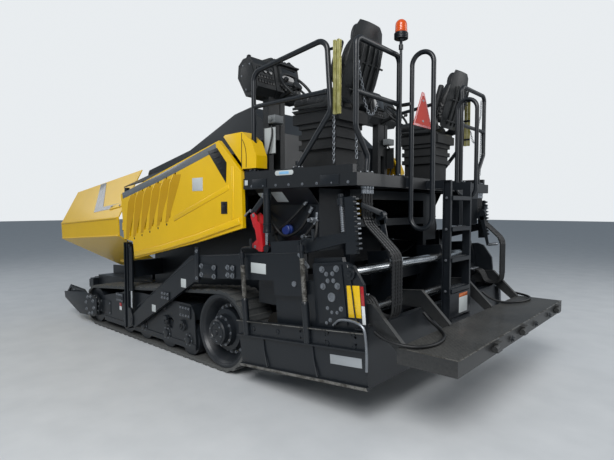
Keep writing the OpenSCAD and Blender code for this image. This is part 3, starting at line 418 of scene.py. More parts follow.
asphalt_steel = bitumen("bitumen_coated_steel", "#6f6a62", "#17140f", 0.9)
scuffed_steel = bitumen("scuffed_wear_steel", "#85827c", "#35322d", 0.3)
dress(asphalt_steel, "conveyor", "auger_left", "auger_right")
dress(scuffed_steel, "screed_plate", "push_roller_left", "push_roller_right")
dress(bitumen("oily_cast_iron", "#4a4c4d", "#1a1a1a", 0.5), "engine_block")

# Side doors' trim
# Each door is one steel panel, with six louvres, a crease and a lower lip pressed in the sheet. The grey
# band along its top edge is reflective tape; the black corner vent and the paddle latch are nylon mouldings.
gloss_nylon = weathered("satin_black_nylon", "#08090a", 0.35, 0.0, 5.0, 6.0, (0.28, 0.5),
                        **{"Coat Weight": 0.1})
grey_tape = prismatic("grey_reflective_tape", "#65696c")
# the same enamel in a darker yellow, as painted shade on the louvres' sloping faces, under a film of dust
louvre_painted_shade_enamel = dusted("yellow_two_pack_enamel_dust_and_painted_shade", "#b78c00", "#6b5612", 0.42, 0.3)
DOOR = 1.27                          # the door's face, from the middle plane
LOUVRES = 6


def strip(mesh, side, line, width, y, thickness, bevel=0.001):
    """A band of the given width centred on a line of points in length and height."""
    points = [Vector((px, pz)) for px, pz in line]
    upper, lower = [], []
    for i, point in enumerate(points):
        way = (points[min(i + 1, len(points) - 1)] - points[max(i - 1, 0)]).normalized()
        half = Vector((-way.y, way.x)) * width / 2
        upper.append(tuple(point + half))
        lower.append(tuple(point - half))
    side_plate(mesh, side, upper + lower[::-1], y, thickness, bevel)


def pill(x, z, dx, dz, radius, steps=10):
    """The outline of a bar with round ends from (x, z) to (x + dx, z + dz)."""
    lean = math.atan2(dz, dx)
    outline = []
    for cx, cz, first in ((x, z, lean + math.pi / 2), (x + dx, z + dz, lean - math.pi / 2)):
        for i in range(steps + 1):
            turn = first + i * math.pi / steps
            outline.append((cx + radius * math.cos(turn), cz + radius * math.sin(turn)))
    return outline


for name, side in SIDES.items():
    body = "door_" + name
    out = Vector((0, side, 0))
    sheet, ridges, slopes, tape, black, plate = [bmesh.new() for i in range(6)]
    # louvres: a ridge in front, a sloping face behind it painted darker as shade, a black disc below as
    # painted shadow
    for i in range(LOUVRES):
        foot = Vector((1.758 - i * 0.176, 1.225 + i * 0.0455))
        head = Vector((1.628 - i * 0.183, 1.732 + i * 0.0395))
        rows = []
        for k in range(9):
            middle = foot.lerp(head, k / 8)
            last = k == 8
            proud = 0.010 + 0.026 * math.sin(min(1.0, k / 7) * math.pi / 2) - last * 0.026
            section = ((0.016, -0.001), (0.0, proud), (-0.012, proud), (-0.05 - 0.09 * k / 8, 0.0005))
            rows.append([at(middle.x + dx, side * (DOOR + dy), middle.y + last * 0.02) for dx, dy in section])
        join(ridges, [[ridges.verts.new(v) for v in row[:3]] for row in rows])
        join(slopes, [[slopes.verts.new(v) for v in row[2:]] for row in rows])
        # a black disc at the louvre's foot: painted shadow for the hole there
        turned(black, at(foot.x - 0.02, side * (DOOR + 0.0003), foot.y - 0.03), out,
               [(0.013, 0), (0.012, 0.001), (0, 0.001)], 12)
    # crease across the door, the fold along its rear edge and the bright lip along its foot
    strip(sheet, side, [(0.715, 1.484), (0.25, 1.641), (-0.207, 1.794)], 0.05, DOOR - 0.006, 0.013, 0.006)
    strip(sheet, side, [(-0.262, 1.98), (-0.245, 1.42)], 0.035, DOOR - 0.006, 0.011, 0.006)
    strip(sheet, side, [(1.545, 1.052), (0.9, 1.175), (0.3, 1.308), (-0.365, 1.482)], 0.062, DOOR - 0.004,
          0.024, 0.009)
    # tape along the top edge
    strip(tape, side, [(1.835, 1.748), (1.0, 1.928), (-0.02, 2.178)], 0.072, DOOR + 0.0002, 0.0012, 0.0004)
    # corner vent: a framed black opening with slats
    side_plate(black, side, [(0.114, 2.145), (-0.034, 2.168), (-0.175, 2.02), (-0.165, 1.833)], DOOR - 0.001,
               0.005, 0.002)
    for i in range(5):
        front, rear, drop = 0.055 - i * 0.045, -0.05 - i * 0.026, i * 0.052
        side_plate(black, side, [(front, 2.12 - drop), (rear, 2.128 - drop), (rear, 2.138 - drop),
                                 (front, 2.13 - drop)], DOOR + 0.003, 0.004, 0.001)
    # paddle latch in its recessed frame
    side_plate(black, side, rectangle(-0.18, 1.545, -0.09, 1.66), DOOR - 0.001, 0.007, 0.004)
    side_plate(black, side, rectangle(-0.165, 1.56, -0.105, 1.62), DOOR + 0.005, 0.006, 0.004)
    turned(black, at(-0.135, side * (DOOR + 0.006), 1.64), out, [(0.012, 0), (0.011, 0.004), (0, 0.005)], 20)
    piece("door_pressings_" + name, sheet, yellow_enamel, body, 50)
    piece("door_louvre_ridges_" + name, ridges, yellow_enamel, body, 20)
    # the sloping faces take the darker yellow as painted shade, with a real film of dust over it
    piece("door_louvre_painted_shade_faces_" + name, slopes, louvre_painted_shade_enamel, body, 20)
    piece("door_tape_" + name, tape, grey_tape, body)
    piece("door_fittings_" + name, black, gloss_nylon, body)
    # blank plate with a rivet in each corner
    side_plate(plate, side, rectangle(0.2, 1.77, 0.375, 1.9), DOOR + 0.0002, 0.0015, 0.0005)
    for x in (0.21, 0.365):
        for z in (1.78, 1.89):
            turned(plate, at(x, side * (DOOR + 0.0015), z), out, [(0.004, 0), (0.0035, 0.002), (0, 0.0025)],
                   10)
    piece("door_plate_" + name, plate, label, body)

# Wing trim
# The hopper wings carry an L of the same grey tape and a rolled bead along each fold of the sheet. A bracket
# with two screws at their rear edge takes the lock bar.
WING_FACE = ((1.262, 1.14), (1.27, 1.37), (0.89, 2.075))      # width and height of the folds at the front


def on_wing(side, x, v, off=0.0):
    """A point on the wing: v is 0 to 1 up the upright band and 1 to 2 up the leaning plate."""
    rise = (3.75 - x) * 110 / 1790
    band = min(int(v), 1)
    low, high = [Vector((0, y, z)) for y, z in WING_FACE[band:band + 2]]
    up = (high - low).normalized()
    point = low.lerp(high, v - band) + off * Vector((0, up.z, -up.y))
    return at(x, side * point.y, point.z + rise)


for name, side in SIDES.items():
    body = "wing_" + name
    tape, sheet, heads = bmesh.new(), bmesh.new(), bmesh.new()
    for corners in (((3.02, 1.735), (2.86, 1.75), (2.55, 1.24), (2.76, 1.15)),
                    ((2.76, 1.15), (2.55, 1.24), (2.03, 1.27), (2.03, 1.2))):
        outer = [on_wing(side, x, v, 0.005) for x, v in corners]
        slab(tape, outer, on_wing(side, 2.5, 1.5, 0.0) - on_wing(side, 2.5, 1.5, 0.004), 0.0)
    # rolled bead on the fold between the upright band and the leaning plate, and one along the floor's fold
    for v, half in ((1.0, 0.012), (0.03, 0.010)):
        rows = []
        for x in (1.985, 2.4, 2.9, 3.4, 3.73):
            middle = on_wing(side, x, v, 0.001)
            rows.append([sheet.verts.new(middle + Vector((0, side * wide, up)))
                         for wide, up in ring_of(12, half)])
        join(sheet, rows, around=True)
        for cap in (rows[0], rows[-1]):
            sheet.faces.new(cap)
    # bracket at the rear edge
    proud = on_wing(side, 2.1, 1.2, 0.014) - on_wing(side, 2.1, 1.2, 0.0)
    base = [on_wing(side, x, v) for x, v in ((2.3, 1.16), (1.99, 1.2), (1.99, 1.27), (2.3, 1.23))]
    slab(sheet, base, proud, 0.003)
    for x in (2.26, 2.05):
        screw(heads, on_wing(side, x, 1.215, 0.013), proud.normalized(), 0.010)
    piece("wing_tape_" + name, tape, grey_tape, body)
    piece("wing_beads_" + name, sheet, yellow_enamel, body)
    piece("wing_screws_" + name, heads, zinc, body)

# Yellow rear corners
# A deep-drawn steel cover fills the corner between the door and the deck, bolted to the body and sprayed the
# same yellow. A black rubber edge seal shows along its joint with the door.
seal_rubber, tree, shader = finish("black_edge_seal_rubber", "#111213", 0.7)
pores = add(tree, "TexNoise", {"Vector": add(tree, "TexCoord").outputs["Object"], "Scale": 160.0})
bump = add(tree, "Bump", {"Height": pores.outputs["Fac"], "Strength": 0.2, "Distance": 0.001})
tree.links.new(bump.outputs[0], shader.inputs["Normal"])


def pipe(mesh, points, radius, sides=10, steps=6):
    """A round hose or cable through the given points on one smooth curve, closed at both ends."""
    points = [Vector(p) for p in points]
    path = []
    for i, (start, end) in enumerate(zip(points, points[1:])):
        before, after = points[max(i - 1, 0)], points[min(i + 2, len(points) - 1)]
        for k in range(steps):
            t = k / steps
            path.append(0.5 * (2 * start + (end - before) * t
                               + (2 * before - 5 * start + 4 * end - after) * t * t
                               + (3 * start - 3 * end + after - before) * t ** 3))
    path.append(points[-1])
    away = Vector((0.3, 0.2, 0.93)).cross(path[1] - path[0]).normalized()
    rings = []
    for i, point in enumerate(path):
        way = (path[min(i + 1, len(path) - 1)] - path[max(i - 1, 0)]).normalized()
        away = (away - way * away.dot(way)).normalized()
        other = way.cross(away)
        rings.append([mesh.verts.new(point + u * away + v * other) for u, v in ring_of(sides, radius)])
    join(mesh, rings, around=True)
    mesh.faces.new(rings[0])
    mesh.faces.new(rings[-1])


for name, side in SIDES.items():
    # the cover's forward wing, folded over at its top, which fills the corner behind the door's slant
    cover, seal = bmesh.new(), bmesh.new()
    side_plate(cover, side, [(-0.128, 2.262), (-0.15, 2.276), (-0.391, 2.28), (-0.391, 1.992)], 1.256,
               0.014, 0.003)
    slab(cover, on_side(side, ((-0.15, 1.262, 2.268), (-0.15, 1.15, 2.268), (-0.391, 1.15, 2.272),
                               (-0.391, 1.262, 2.272))), Vector((0, 0, 0.008)), 0.002)
    piece("corner_wings_" + name, cover, yellow_enamel, "paver")
    pipe(seal, on_side(side, ((-0.388, 1.268, 1.955), (-0.388, 1.268, 2.1), (-0.388, 1.268, 2.27))), 0.005,
         8, 3)
    pipe(seal, on_side(side, ((-0.45, 1.2712, 1.96), (-0.45, 1.2712, 2.08), (-0.43, 1.2712, 2.16),
                              (-0.4, 1.2712, 2.21))), 0.003, 6, 4)
    piece("corner_seals_" + name, seal, seal_rubber, "paver")

# Tow arms, travel locks and lift cylinders
# Welded box arms with bolted caps and a pin with a keeper plate at the tow eye; chromed rods stand beside
# them. Each red travel lock is a folded steel hook that a black lever lifts on its pins.
# the locks' red is as glossy as the yellow, with more dust where it faces up
red_enamel = dusted("signal_red_enamel", "#b0151c", "#6b4a42", 0.36, 0.3, coat=0.15)
# hard chrome is a near mirror, broken by a film of oil
chrome = weathered("hard_chromed_steel", "#c9ccce", 0.14, 1.0, 14.0, 5.0, (0.08, 0.3))
ARM = 1.282                          # the tow arms' outer face
LIFT = (-0.7, 1.257)                 # the lift cylinders' axes, in length and width
for name, side in SIDES.items():
    out = Vector((0, side, 0))
    steel, fixed, heads, plates, rods, hooks, pins = [bmesh.new() for i in range(7)]
    # bolted caps along the arm: columns are corner, opposite corner, screws along and up
    for x0, z0, x1, z1, nx, nz in ((0.8, 0.6, 0.96, 0.69, 3, 2), (-0.02, 0.92, 0.23, 1.05, 2, 2),
                                   (-0.3, 0.955, -0.18, 1.07, 2, 2)):
        side_plate(steel, side, rectangle(x0, z0, x1, z1), ARM - 0.0002, 0.012, 0.003)
        for i in range(nx):
            for k in range(nz):
                screw(heads, at(x0 + 0.025 + i * (x1 - x0 - 0.05) / (nx - 1), side * (ARM + 0.0115),
                                z0 + 0.022 + k * (z1 - z0 - 0.044) / (nz - 1)), out,
                                0.010 if nx == 3 else 0.017)
    # clamp bar across the arm
    side_plate(steel, side, rectangle(0.25, 0.86, 0.31, 1.21), ARM - 0.0002, 0.016, 0.003)
    for z in (0.9, 1.17):
        screw(heads, at(0.28, side * (ARM + 0.0155), z), out, 0.012)
    # weld beads along the arm's edges
    pipe(steel, on_side(side, ((1.5, ARM, 0.44), (0.9, ARM, 0.79), (0.35, ARM, 1.095))), 0.005, 6, 3)
    pipe(steel, on_side(side, ((0.3, ARM, 1.118), (-0.4, ARM, 1.18), (-1.15, ARM, 1.245))), 0.005, 6, 3)
    # keeper plate and pin head at the tow eye
    turned(fixed, at(1.64, side * 1.2955, 0.24), out,
           [(0.046, 0), (0.044, 0.006), (0.02, 0.008), (0, 0.008)], 28)
    # blank plates on the arm's outer face
    for x0, z0, x1, z1 in ((0.49, 0.775, 0.58, 0.865), (1.09, 0.43, 1.17, 0.51), (-0.71, 1.03, -0.52, 1.12)):
        side_plate(plates, side, rectangle(x0, z0, x1, z1), ARM + 0.0002, 0.0016, 0.0005)
    # chromed rods of the levelling and lift cylinders, with their gland rings
    for (x, y), z0, z1, r in (((1.664, 1.262), 0.392, 0.618, 0.0146), (LIFT, 1.284, 1.398, 0.0176)):
        turned(rods, at(x, side * y, z0), (0, 0, 1), [(r, 0), (r, z1 - z0)], 24)
        turned(fixed, at(x, side * y, z1 - 0.012), (0, 0, 1),
               [(r + 0.001, 0), (r + 0.017, 0), (r + 0.018, 0.012), (r + 0.014, 0.03)], 24)
    for z in (1.45, 1.70):
        turned(fixed, at(LIFT[0], side * LIFT[1], z), (0, 0, 1),
               [(0.0322, 0), (0.036, 0.003), (0.036, 0.016), (0.0322, 0.019)], 28)
    # travel lock: hooked outer leaf, rear web and inner leaf, folded from one plate, and the lever above it
    hook = [(-0.5, 1.54), (-0.546, 1.56), (-0.585, 1.53), (-0.59, 1.487), (-0.626, 1.468), (-0.66, 1.27),
            (-0.655, 1.222), (-0.606, 1.222), (-0.592, 1.236), (-0.527, 1.25), (-0.511, 1.275),
            (-0.582, 1.322), (-0.562, 1.408), (-0.536, 1.44), (-0.507, 1.516)]
    side_plate(hooks, side, hook, 1.262, 0.01, 0.002)
    side_plate(hooks, side, hook, 1.186, 0.008, 0.002)
    side_plate(hooks, side, [(-0.622, 1.466), (-0.63, 1.466), (-0.659, 1.27), (-0.655, 1.224),
                             (-0.645, 1.224), (-0.65, 1.27)], 1.19, 0.074, 0.0)
    side_plate(fixed, side, pill(-0.52, 1.562, -0.165, 0.15, 0.026), 1.236, 0.024, 0.004)
    for x, z, r in ((-0.545, 1.535, 0.016), (-0.505, 1.575, 0.014), (-0.565, 1.26, 0.014),
                    (-0.675, 1.705, 0.022)):
        turned(pins, at(x, side * 1.258, z), out, [(r, 0), (r, 0.018), (r * 0.6, 0.021), (0, 0.022)],
               20)
    pipe(pins, on_side(side, ((-0.425, 1.268, 1.528), (-0.455, 1.272, 1.55), (-0.505, 1.27, 1.58))),
         0.008, 8, 3)
    hooks_piece = piece("travel_lock_hooks_" + name, hooks, red_enamel, "paver")
    if side == 1:
        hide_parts("travel_locks")
    piece("travel_lock_pins_" + name, pins, zinc, "paver")
    piece("arm_caps_" + name, steel, black_enamel, "screed")
    piece("cylinder_glands_" + name, fixed, black_enamel, "paver")
    piece("arm_screws_" + name, heads, zinc, "screed")
    piece("arm_plates_" + name, plates, label, "screed")
    piece("cylinder_rods_" + name, rods, chrome, "paver")

# Guide tubes
# Hard-chromed and ground steel tubes carry the extensions, bright along their length. Each runs in a bolted
# bearing, with a black rubber wiper ring that keeps the asphalt out.
dress(chrome, "guide_tubes_left", "guide_tubes_right")
PITCH = math.radians(5.2)            # the raised screed's tilt about the tow point
TOW = (1.64, 0.24)


def raised(x, y, z):
    """A point on the raised screed from its place when the screed lies on the road."""
    dx, dz = x - TOW[0], z - TOW[1]
    return at(TOW[0] + dx * math.cos(PITCH) + dz * math.sin(PITCH), y,
              TOW[1] - dx * math.sin(PITCH) + dz * math.cos(PITCH))


def screed_plate(mesh, side, outline, y, thickness, bevel=0.0015):
    """A plate on the raised screed's flank: outline in length and height, from y outwards."""
    slab(mesh, [raised(px, side * y, pz) for px, pz in outline], Vector((0, side * thickness, 0)), bevel)


wipers = bmesh.new()
for z in (0.81, 0.48):
    for y in (-1.225, -0.48, 0.48, 1.225):
        turned(wipers, raised(-1.5, y, z), (0, math.copysign(1, y), 0),
               [(0.0455, 0), (0.062, 0), (0.062, 0.006), (0.056, 0.012), (0.0455, 0.012)], 32)
piece("tube_wipers", wipers, seal_rubber, "screed")

# Extension and end gate fittings
# The extension's side plate is bolted through a pad, with a pivot amid its screws. The end gate has a row of
# screws, a scraper lip worn bright, and jacks with threaded spindles and a crank each.
# the marker is prismatic sheet in yellow, and the gate's lip is steel scuffed by the road
yellow_sheet = prismatic("yellow_reflective_sheet", "#e2b810")
worn_edge = bitumen("scuffed_edge_steel", "#8f8d88", "#3b3934", 0.25)
WALL = 1.2702                        # the extension's side wall, from the middle plane
PAD = 1.279                          # the face of the bolted pad on it
GATE = 1.3118                        # the end gate's outer face
JACK = 1.322                         # the line of the gate's jacks
for name, side in SIDES.items():
    out = Vector((0, side, 0))
    body = "extension_" + name
    steel, heads, bright, yellow, red, white, blank = [bmesh.new() for i in range(7)]
    # columns: place along, height and size of each screw on the pad, in millimetres for the size
    for x, z, size in ((-1.40, 0.855, 17), (-1.54, 0.86, 17), (-1.40, 0.725, 17), (-1.54, 0.73, 17),
                       (-1.44, 0.82, 12), (-1.50, 0.823, 12), (-1.45, 0.768, 12), (-1.505, 0.77, 12),
                       (-1.43, 0.56, 10), (-1.56, 0.56, 13), (-1.47, 0.53, 9), (-1.52, 0.53, 9),
                       (-1.45, 0.47, 11), (-1.41, 0.445, 9)):
        screw(heads, raised(x, side * PAD, z), out, size / 1000)
    turned(heads, raised(-1.48, side * PAD, 0.645), out,
           [(0.036, 0), (0.034, 0.008), (0.022, 0.009), (0.02, 0.003), (0, 0.003)], 28)
    turned(steel, raised(-1.66, side * 1.287, 0.82), out,
           [(0.024, 0), (0.023, 0.006), (0.01, 0.01), (0, 0.01)], 24)
    # blank yellow sheet, with a reflector at the rear edge: red above white
    screed_plate(yellow, side, rectangle(-1.735, 0.5, -1.62, 0.735), WALL, 0.0015, 0.0004)
    screed_plate(red, side, rectangle(-1.769, 0.59, -1.741, 0.73), WALL, 0.0015, 0.0004)
    screed_plate(white, side, rectangle(-1.769, 0.455, -1.741, 0.588), WALL, 0.0015, 0.0004)
    # sensor lead down over the sheet, and the bent guard pipe over the end gate's rear end
    pipe(steel, on_side(side, ((-1.63, 1.262, 0.9), (-1.655, 1.278, 0.82), (-1.672, 1.278, 0.7),
                               (-1.682, 1.278, 0.55), (-1.70, 1.28, 0.47), (-1.76, 1.272, 0.43)), raised),
         0.006, 8, 6)
    pipe(heads, on_side(side, ((-1.46, 1.298, 0.72), (-1.52, 1.31, 0.768), (-1.60, 1.322, 0.786),
                               (-1.69, 1.33, 0.785), (-1.755, 1.333, 0.755), (-1.778, 1.333, 0.67),
                               (-1.785, 1.333, 0.56), (-1.786, 1.333, 0.45))), 0.010, 10, 6)
    # screws along the end gate's channel, ribs down its plate and the bright lip at its foot
    for x, z in ((-1.19, 0.375), (-1.43, 0.38), (-1.43, 0.30), (-1.68, 0.385), (-1.68, 0.30), (-0.6, 0.34),
                 (-0.9, 0.34)):
        turned(steel, raised(x, side * GATE, z), out,
               [(0.023, 0), (0.021, 0.006), (0.013, 0.006), (0.012, 0.003), (0, 0.003)], 6)
    for x in (-0.72, -1.28):
        pipe(steel, on_side(side, ((x, 1.316, 0.265), (x - 0.012, 1.322, 0.15), (x - 0.045, 1.33, 0.032)),
                            raised),
             0.009, 8, 5)
    screed_plate(bright, side, [(-0.41, 0.002), (-0.42, 0.024), (-1.78, 0.024), (-1.79, 0.002)], 1.3358,
                 0.003, 0.001)
    screed_plate(bright, side, [(-0.408, 0.402), (-0.408, 0.409), (-1.792, 0.409), (-1.792, 0.402)], 1.3395,
                 0.002, 0.0005)
    screed_plate(blank, side, rectangle(-1.74, 0.15, -1.45, 0.22), GATE, 0.0016, 0.0005)
    # jacks: columns are place along and height of the spindle's top; each has its thread as stacked rings, a
    # locking collar and a folding crank
    for x, top in ((-0.52, 1.01), (-1.24, 1.05)):
        profile = []
        for i in range(int((top - 0.65 - 0.05) / 0.012)):
            profile += [(0.0172, 0.6 + i * 0.012), (0.0205, 0.604 + i * 0.012), (0.0205, 0.607 + i * 0.012),
                        (0.0172, 0.611 + i * 0.012)]
        up = (raised(x, 0, 1.0) - raised(x, 0, 0.0)).normalized()
        turned(bright, raised(x, side * JACK, 0), up, profile, 16)
        turned(steel, raised(x, side * JACK, 0.575), up,
               [(0.018, 0), (0.0295, 0), (0.0295, 0.022), (0.022, 0.034)], 24)
        arm = ((x, JACK, top - 0.01), (x, JACK, top + 0.03), (x - 0.05, JACK, top + 0.045),
               (x - 0.13, JACK, top + 0.04))
        pipe(steel, on_side(side, arm, raised), 0.009, 8, 5)
        grip = [(x - 0.13, JACK, top + rise) for rise in (0.035, 0.075, 0.12)]
        pipe(steel, on_side(side, grip, raised), 0.012, 10, 2)
    piece("extension_fittings_" + name, steel, black_enamel, body)
    piece("extension_screws_" + name, heads, zinc, body)
    piece("gate_bright_parts_" + name, bright, worn_edge, body)
    piece("extension_marker_" + name, yellow, yellow_sheet, body)
    piece("extension_reflector_red_" + name, red, red_prism, body)
    piece("extension_reflector_white_" + name, white, white_prism, body)
    piece("gate_plate_" + name, blank, anodised, body)

# Depth screws on the tow arms' rear columns
# Each rear column of the tow arms is a toothed rack with a threaded spindle beside it, turned from steel and
# zinc plated. A flat arm from its head carries the crank: a hanging lever with a round head and a grip.
SPINDLE = (-1.615, 1.257)            # the spindle's place, in length and width
for name, side in SIDES.items():
    out = Vector((0, side, 0))
    steel, bright = bmesh.new(), bmesh.new()
    up = (raised(-1.4, 0, 1.0) - raised(-1.4, 0, 0.0)).normalized()
    profile = []
    for i in range(14):
        profile += [(0.015, i * 0.016), (0.019, 0.005 + i * 0.016), (0.019, 0.009 + i * 0.016),
                    (0.015, 0.014 + i * 0.016)]
    turned(bright, raised(SPINDLE[0], side * SPINDLE[1], 1.128), up, profile, 16)
    turned(steel, raised(SPINDLE[0], side * SPINDLE[1], 1.33), up,
           [(0.034, 0), (0.034, 0.05), (0.02, 0.06), (0.02, 0.085), (0, 0.086)], 24)
    # the crank's arm from the column to its pin, the hanging lever and the grip
    slab(steel, on_side(side, ((-1.652, 1.225, 1.605), (-1.70, 1.02, 1.535), (-1.70, 1.02, 1.58),
                               (-1.652, 1.225, 1.64))), Vector((-0.012, 0, 0)), 0.003)
    turned(steel, at(-1.69, side * 0.985, 1.545), out, [(0, 0), (0.036, 0), (0.036, 0.05), (0, 0.05)], 24)
    side_plate(steel, side, pill(-1.675, 1.515, -0.012, 0.0, 0.045), 0.988, 0.012, 0.003)
    side_plate(steel, side, [(-1.665, 1.51), (-1.71, 1.512), (-1.775, 1.2), (-1.748, 1.196)], 0.988, 0.012,
               0.003)
    turned(bright, at(-1.765, side * 0.994, 1.208), (-1, 0, 0.15),
           [(0, 0), (0.015, 0.002), (0.016, 0.09), (0.012, 0.1), (0, 0.1)], 16)
    # silver lever and round plug on the arm's end
    side_plate(bright, side, pill(-1.098, 1.228, -0.1, -0.09, 0.013), 1.2822, 0.008, 0.002)
    turned(bright, at(-1.044, side * 1.282, 0.985), out, [(0.024, 0), (0.022, 0.008), (0, 0.01)], 20)
    # the rack's ten teeth
    for i in range(10):
        z = 0.999 + i * 0.036
        tooth = [(-1.7605, z), (-1.7605, z + 0.01), (-1.7625, z + 0.01), (-1.7625, z)]
        screed_plate(bright, side, tooth, 1.238, 0.038, 0.0)
    piece("depth_spindle_" + name, bright, zinc, "screed")
    piece("depth_collars_" + name, steel, black_enamel, "screed")

# Seats' bases and consoles
# Ribbed rubber bellows close the sprung bases of the two seats. The driving consoles are hollow pods of black
# ABS, moulded with a fine grain and screwed to a steel column.


def moulded(name, hexcolour, roughness, grain_scale, depth):
    """Rubber or plastic from a grained mould, with gloss that wanders where hands and dust have been."""
    material, tree, shader = finish(name, hexcolour, roughness)
    where = add(tree, "TexCoord").outputs["Object"]
    grain = add(tree, "TexVoronoi", {"Vector": where, "Scale": grain_scale})
    bump = add(tree, "Bump", {"Height": grain.outputs["Distance"], "Strength": depth, "Distance": 0.001})
    tree.links.new(bump.outputs[0], shader.inputs["Normal"])
    smear = add(tree, "TexNoise", {"Vector": where, "Scale": 7.0, "Detail": 6.0})
    rough = add(tree, "MapRange", {"Value": smear.outputs["Fac"], "To Min": roughness - 0.08,
                                   "To Max": roughness + 0.12})
    tree.links.new(rough.outputs[0], shader.inputs["Roughness"])
    return material


bellows_rubber = moulded("black_bellows_rubber", "#0f1113", 0.62, 320.0, 0.25)
textured_abs = moulded("textured_black_abs", "#111416", 0.48, 700.0, 0.4)
dress(bellows_rubber, "seat_base_left", "seat_base_right")
dress(textured_abs, "console_left", "console_right")

# Hoses behind the screed and below the deck
# Braided rubber hoses with crimped plated ends. A nylon spiral is wound round each of the rear ones, and
# five more loop below the deck on either side, past the tank's cap.
hose_rubber = moulded("braided_hydraulic_hose_rubber", "#0d0e0f", 0.5, 500.0, 0.3)
# nylon is a shade glossier than the rubber under it
nylon_wrap = moulded("black_nylon_spiral_wrap", "#121416", 0.4, 300.0, 0.2)
HOSE_ROUTE = [(-1.62, 1.764), (-1.62, 1.65), (-1.62, 1.545), (-1.648, 1.476), (-1.75, 1.385), (-1.852, 1.29),
              (-1.88, 1.22), (-1.88, 1.05), (-1.88, 0.9), (-1.862, 0.822), (-1.79, 0.795), (-1.715, 0.81),
              (-1.68, 0.87), (-1.642, 0.918), (-1.562, 0.925)]
HOSE_ROWS = (1.04, 1.075, 1.11, 1.145)
# the caps are nylon, coloured right through
blue_cap = moulded("blue_moulded_nylon_cap", "#1b2f6b", 0.4, 300.0, 0.2)


def lengths_along(points):
    """How far each point of a line lies from its start, along the line."""
    lengths = [0.0]
    for a, b in zip(points, points[1:]):
        lengths.append(lengths[-1] + (b - a).length)
    return lengths


for name, side in SIDES.items():
    out = Vector((0, side, 0))
    across = Vector((0, 1, 0))
    wrap, ferrules, hose, rear, sockets, cap = [bmesh.new() for i in range(6)]
    for y in HOSE_ROWS:
        pipe(rear, [at(px, side * y, pz) for px, pz in HOSE_ROUTE], 0.011, 10, 4)
        # the wrap is a flat ribbon on the hose, closed turn by turn, with eight steps to a turn of 26 mm
        route = [at(px, side * y, pz) for px, pz in HOSE_ROUTE[1:9]]
        lengths = lengths_along(route)
        steps = int(lengths[-1] / 0.026) * 8
        rows = []
        for i in range(steps + 1):
            done = lengths[-1] * i / steps
            k = max(j for j in range(len(route) - 1) if lengths[j] <= done + 1e-9)
            place = route[k].lerp(route[k + 1], min(1.0, (done - lengths[k]) / (lengths[k + 1] - lengths[k])))
            way = (route[k + 1] - route[k]).normalized()
            away = math.cos(i * math.pi / 4) * across + math.sin(i * math.pi / 4) * way.cross(across)
            rows.append([wrap.verts.new(place + away * 0.0135 + way * w) for w in (-0.008, 0.0, 0.008)])
        join(wrap, rows)
        turned(ferrules, at(-1.62, side * y, 1.706), (0, 0, 1),
               [(0.0112, 0), (0.0175, 0.002), (0.0175, 0.03), (0.014, 0.034), (0.019, 0.04),
                (0.019, 0.056)], 12)
        turned(sockets, at(-1.606, side * y, 0.925), (1, 0, 0),
               [(0.0112, 0), (0.0165, 0.002), (0.0165, 0.026), (0.018, 0.03), (0.018, 0.043)], 12)
    bmesh.ops.solidify(wrap, geom=list(wrap.faces), thickness=-0.0016)
    rear_hoses = piece("rear_hoses_" + name, rear, hose_rubber, None, 60)
    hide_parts("hoses_" + name)
    for made in (rear_hoses, piece("hose_wraps_" + name, wrap, nylon_wrap, None, 60)):
        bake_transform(made)
    piece("hose_sockets_" + name, sockets, zinc, "screed")
    # lines under the deck skirt, each as the points of its route
    for route in (
            ((-0.5, 1.05, 1.6), (-0.62, 1.12, 1.48), (-0.78, 1.13, 1.36), (-0.95, 1.11, 1.42),
             (-1.05, 1.07, 1.6)),
            ((-0.52, 1.02, 1.5), (-0.7, 1.12, 1.3), (-0.95, 1.15, 1.2), (-1.1, 1.1, 1.35),
             (-1.09, 1.05, 1.55)),
            ((-0.41, 0.95, 1.15), (-0.5, 1.06, 1.05), (-0.7, 1.12, 1.08), (-0.95, 1.12, 1.3),
             (-1.1, 1.06, 1.5)),
            ((-0.41, 0.9, 1.28), (-0.55, 1.04, 1.2), (-0.8, 1.1, 1.22), (-1.08, 1.0, 1.3)),
            ((-0.41, 0.86, 1.38), (-0.6, 1.08, 1.36), (-0.85, 1.12, 1.5), (-1.0, 1.07, 1.66))):
        points = on_side(side, route)
        pipe(hose, points, 0.013, 10, 8)
        turned(ferrules, points[-1], (points[-2] - points[-1]).normalized(),
               [(0.019, -0.01), (0.019, 0.006), (0.0165, 0.01), (0.0165, 0.045), (0.0132, 0.047)], 12)
    # hexagon unions, and the tank's cap
    for x, z in ((-1.0, 1.36), (-1.07, 1.50)):
        turned(ferrules, at(x, side * 1.06, z), out,
               [(0.0, 0), (0.024, 0), (0.024, 0.05), (0.017, 0.054), (0.017, 0.08), (0, 0.08)], 6)
    turned(cap, at(-0.79, side * 1.075, 1.41), out,
           [(0, 0), (0.05, 0), (0.052, 0.02), (0.045, 0.03), (0.045, 0.045), (0.04, 0.05), (0, 0.052)], 28)
    piece("tank_cap_" + name, cap, blue_cap, "paver")
    piece("side_hoses_" + name, hose, hose_rubber, "paver")
    piece("hose_ferrules_" + name, ferrules, zinc, "paver")

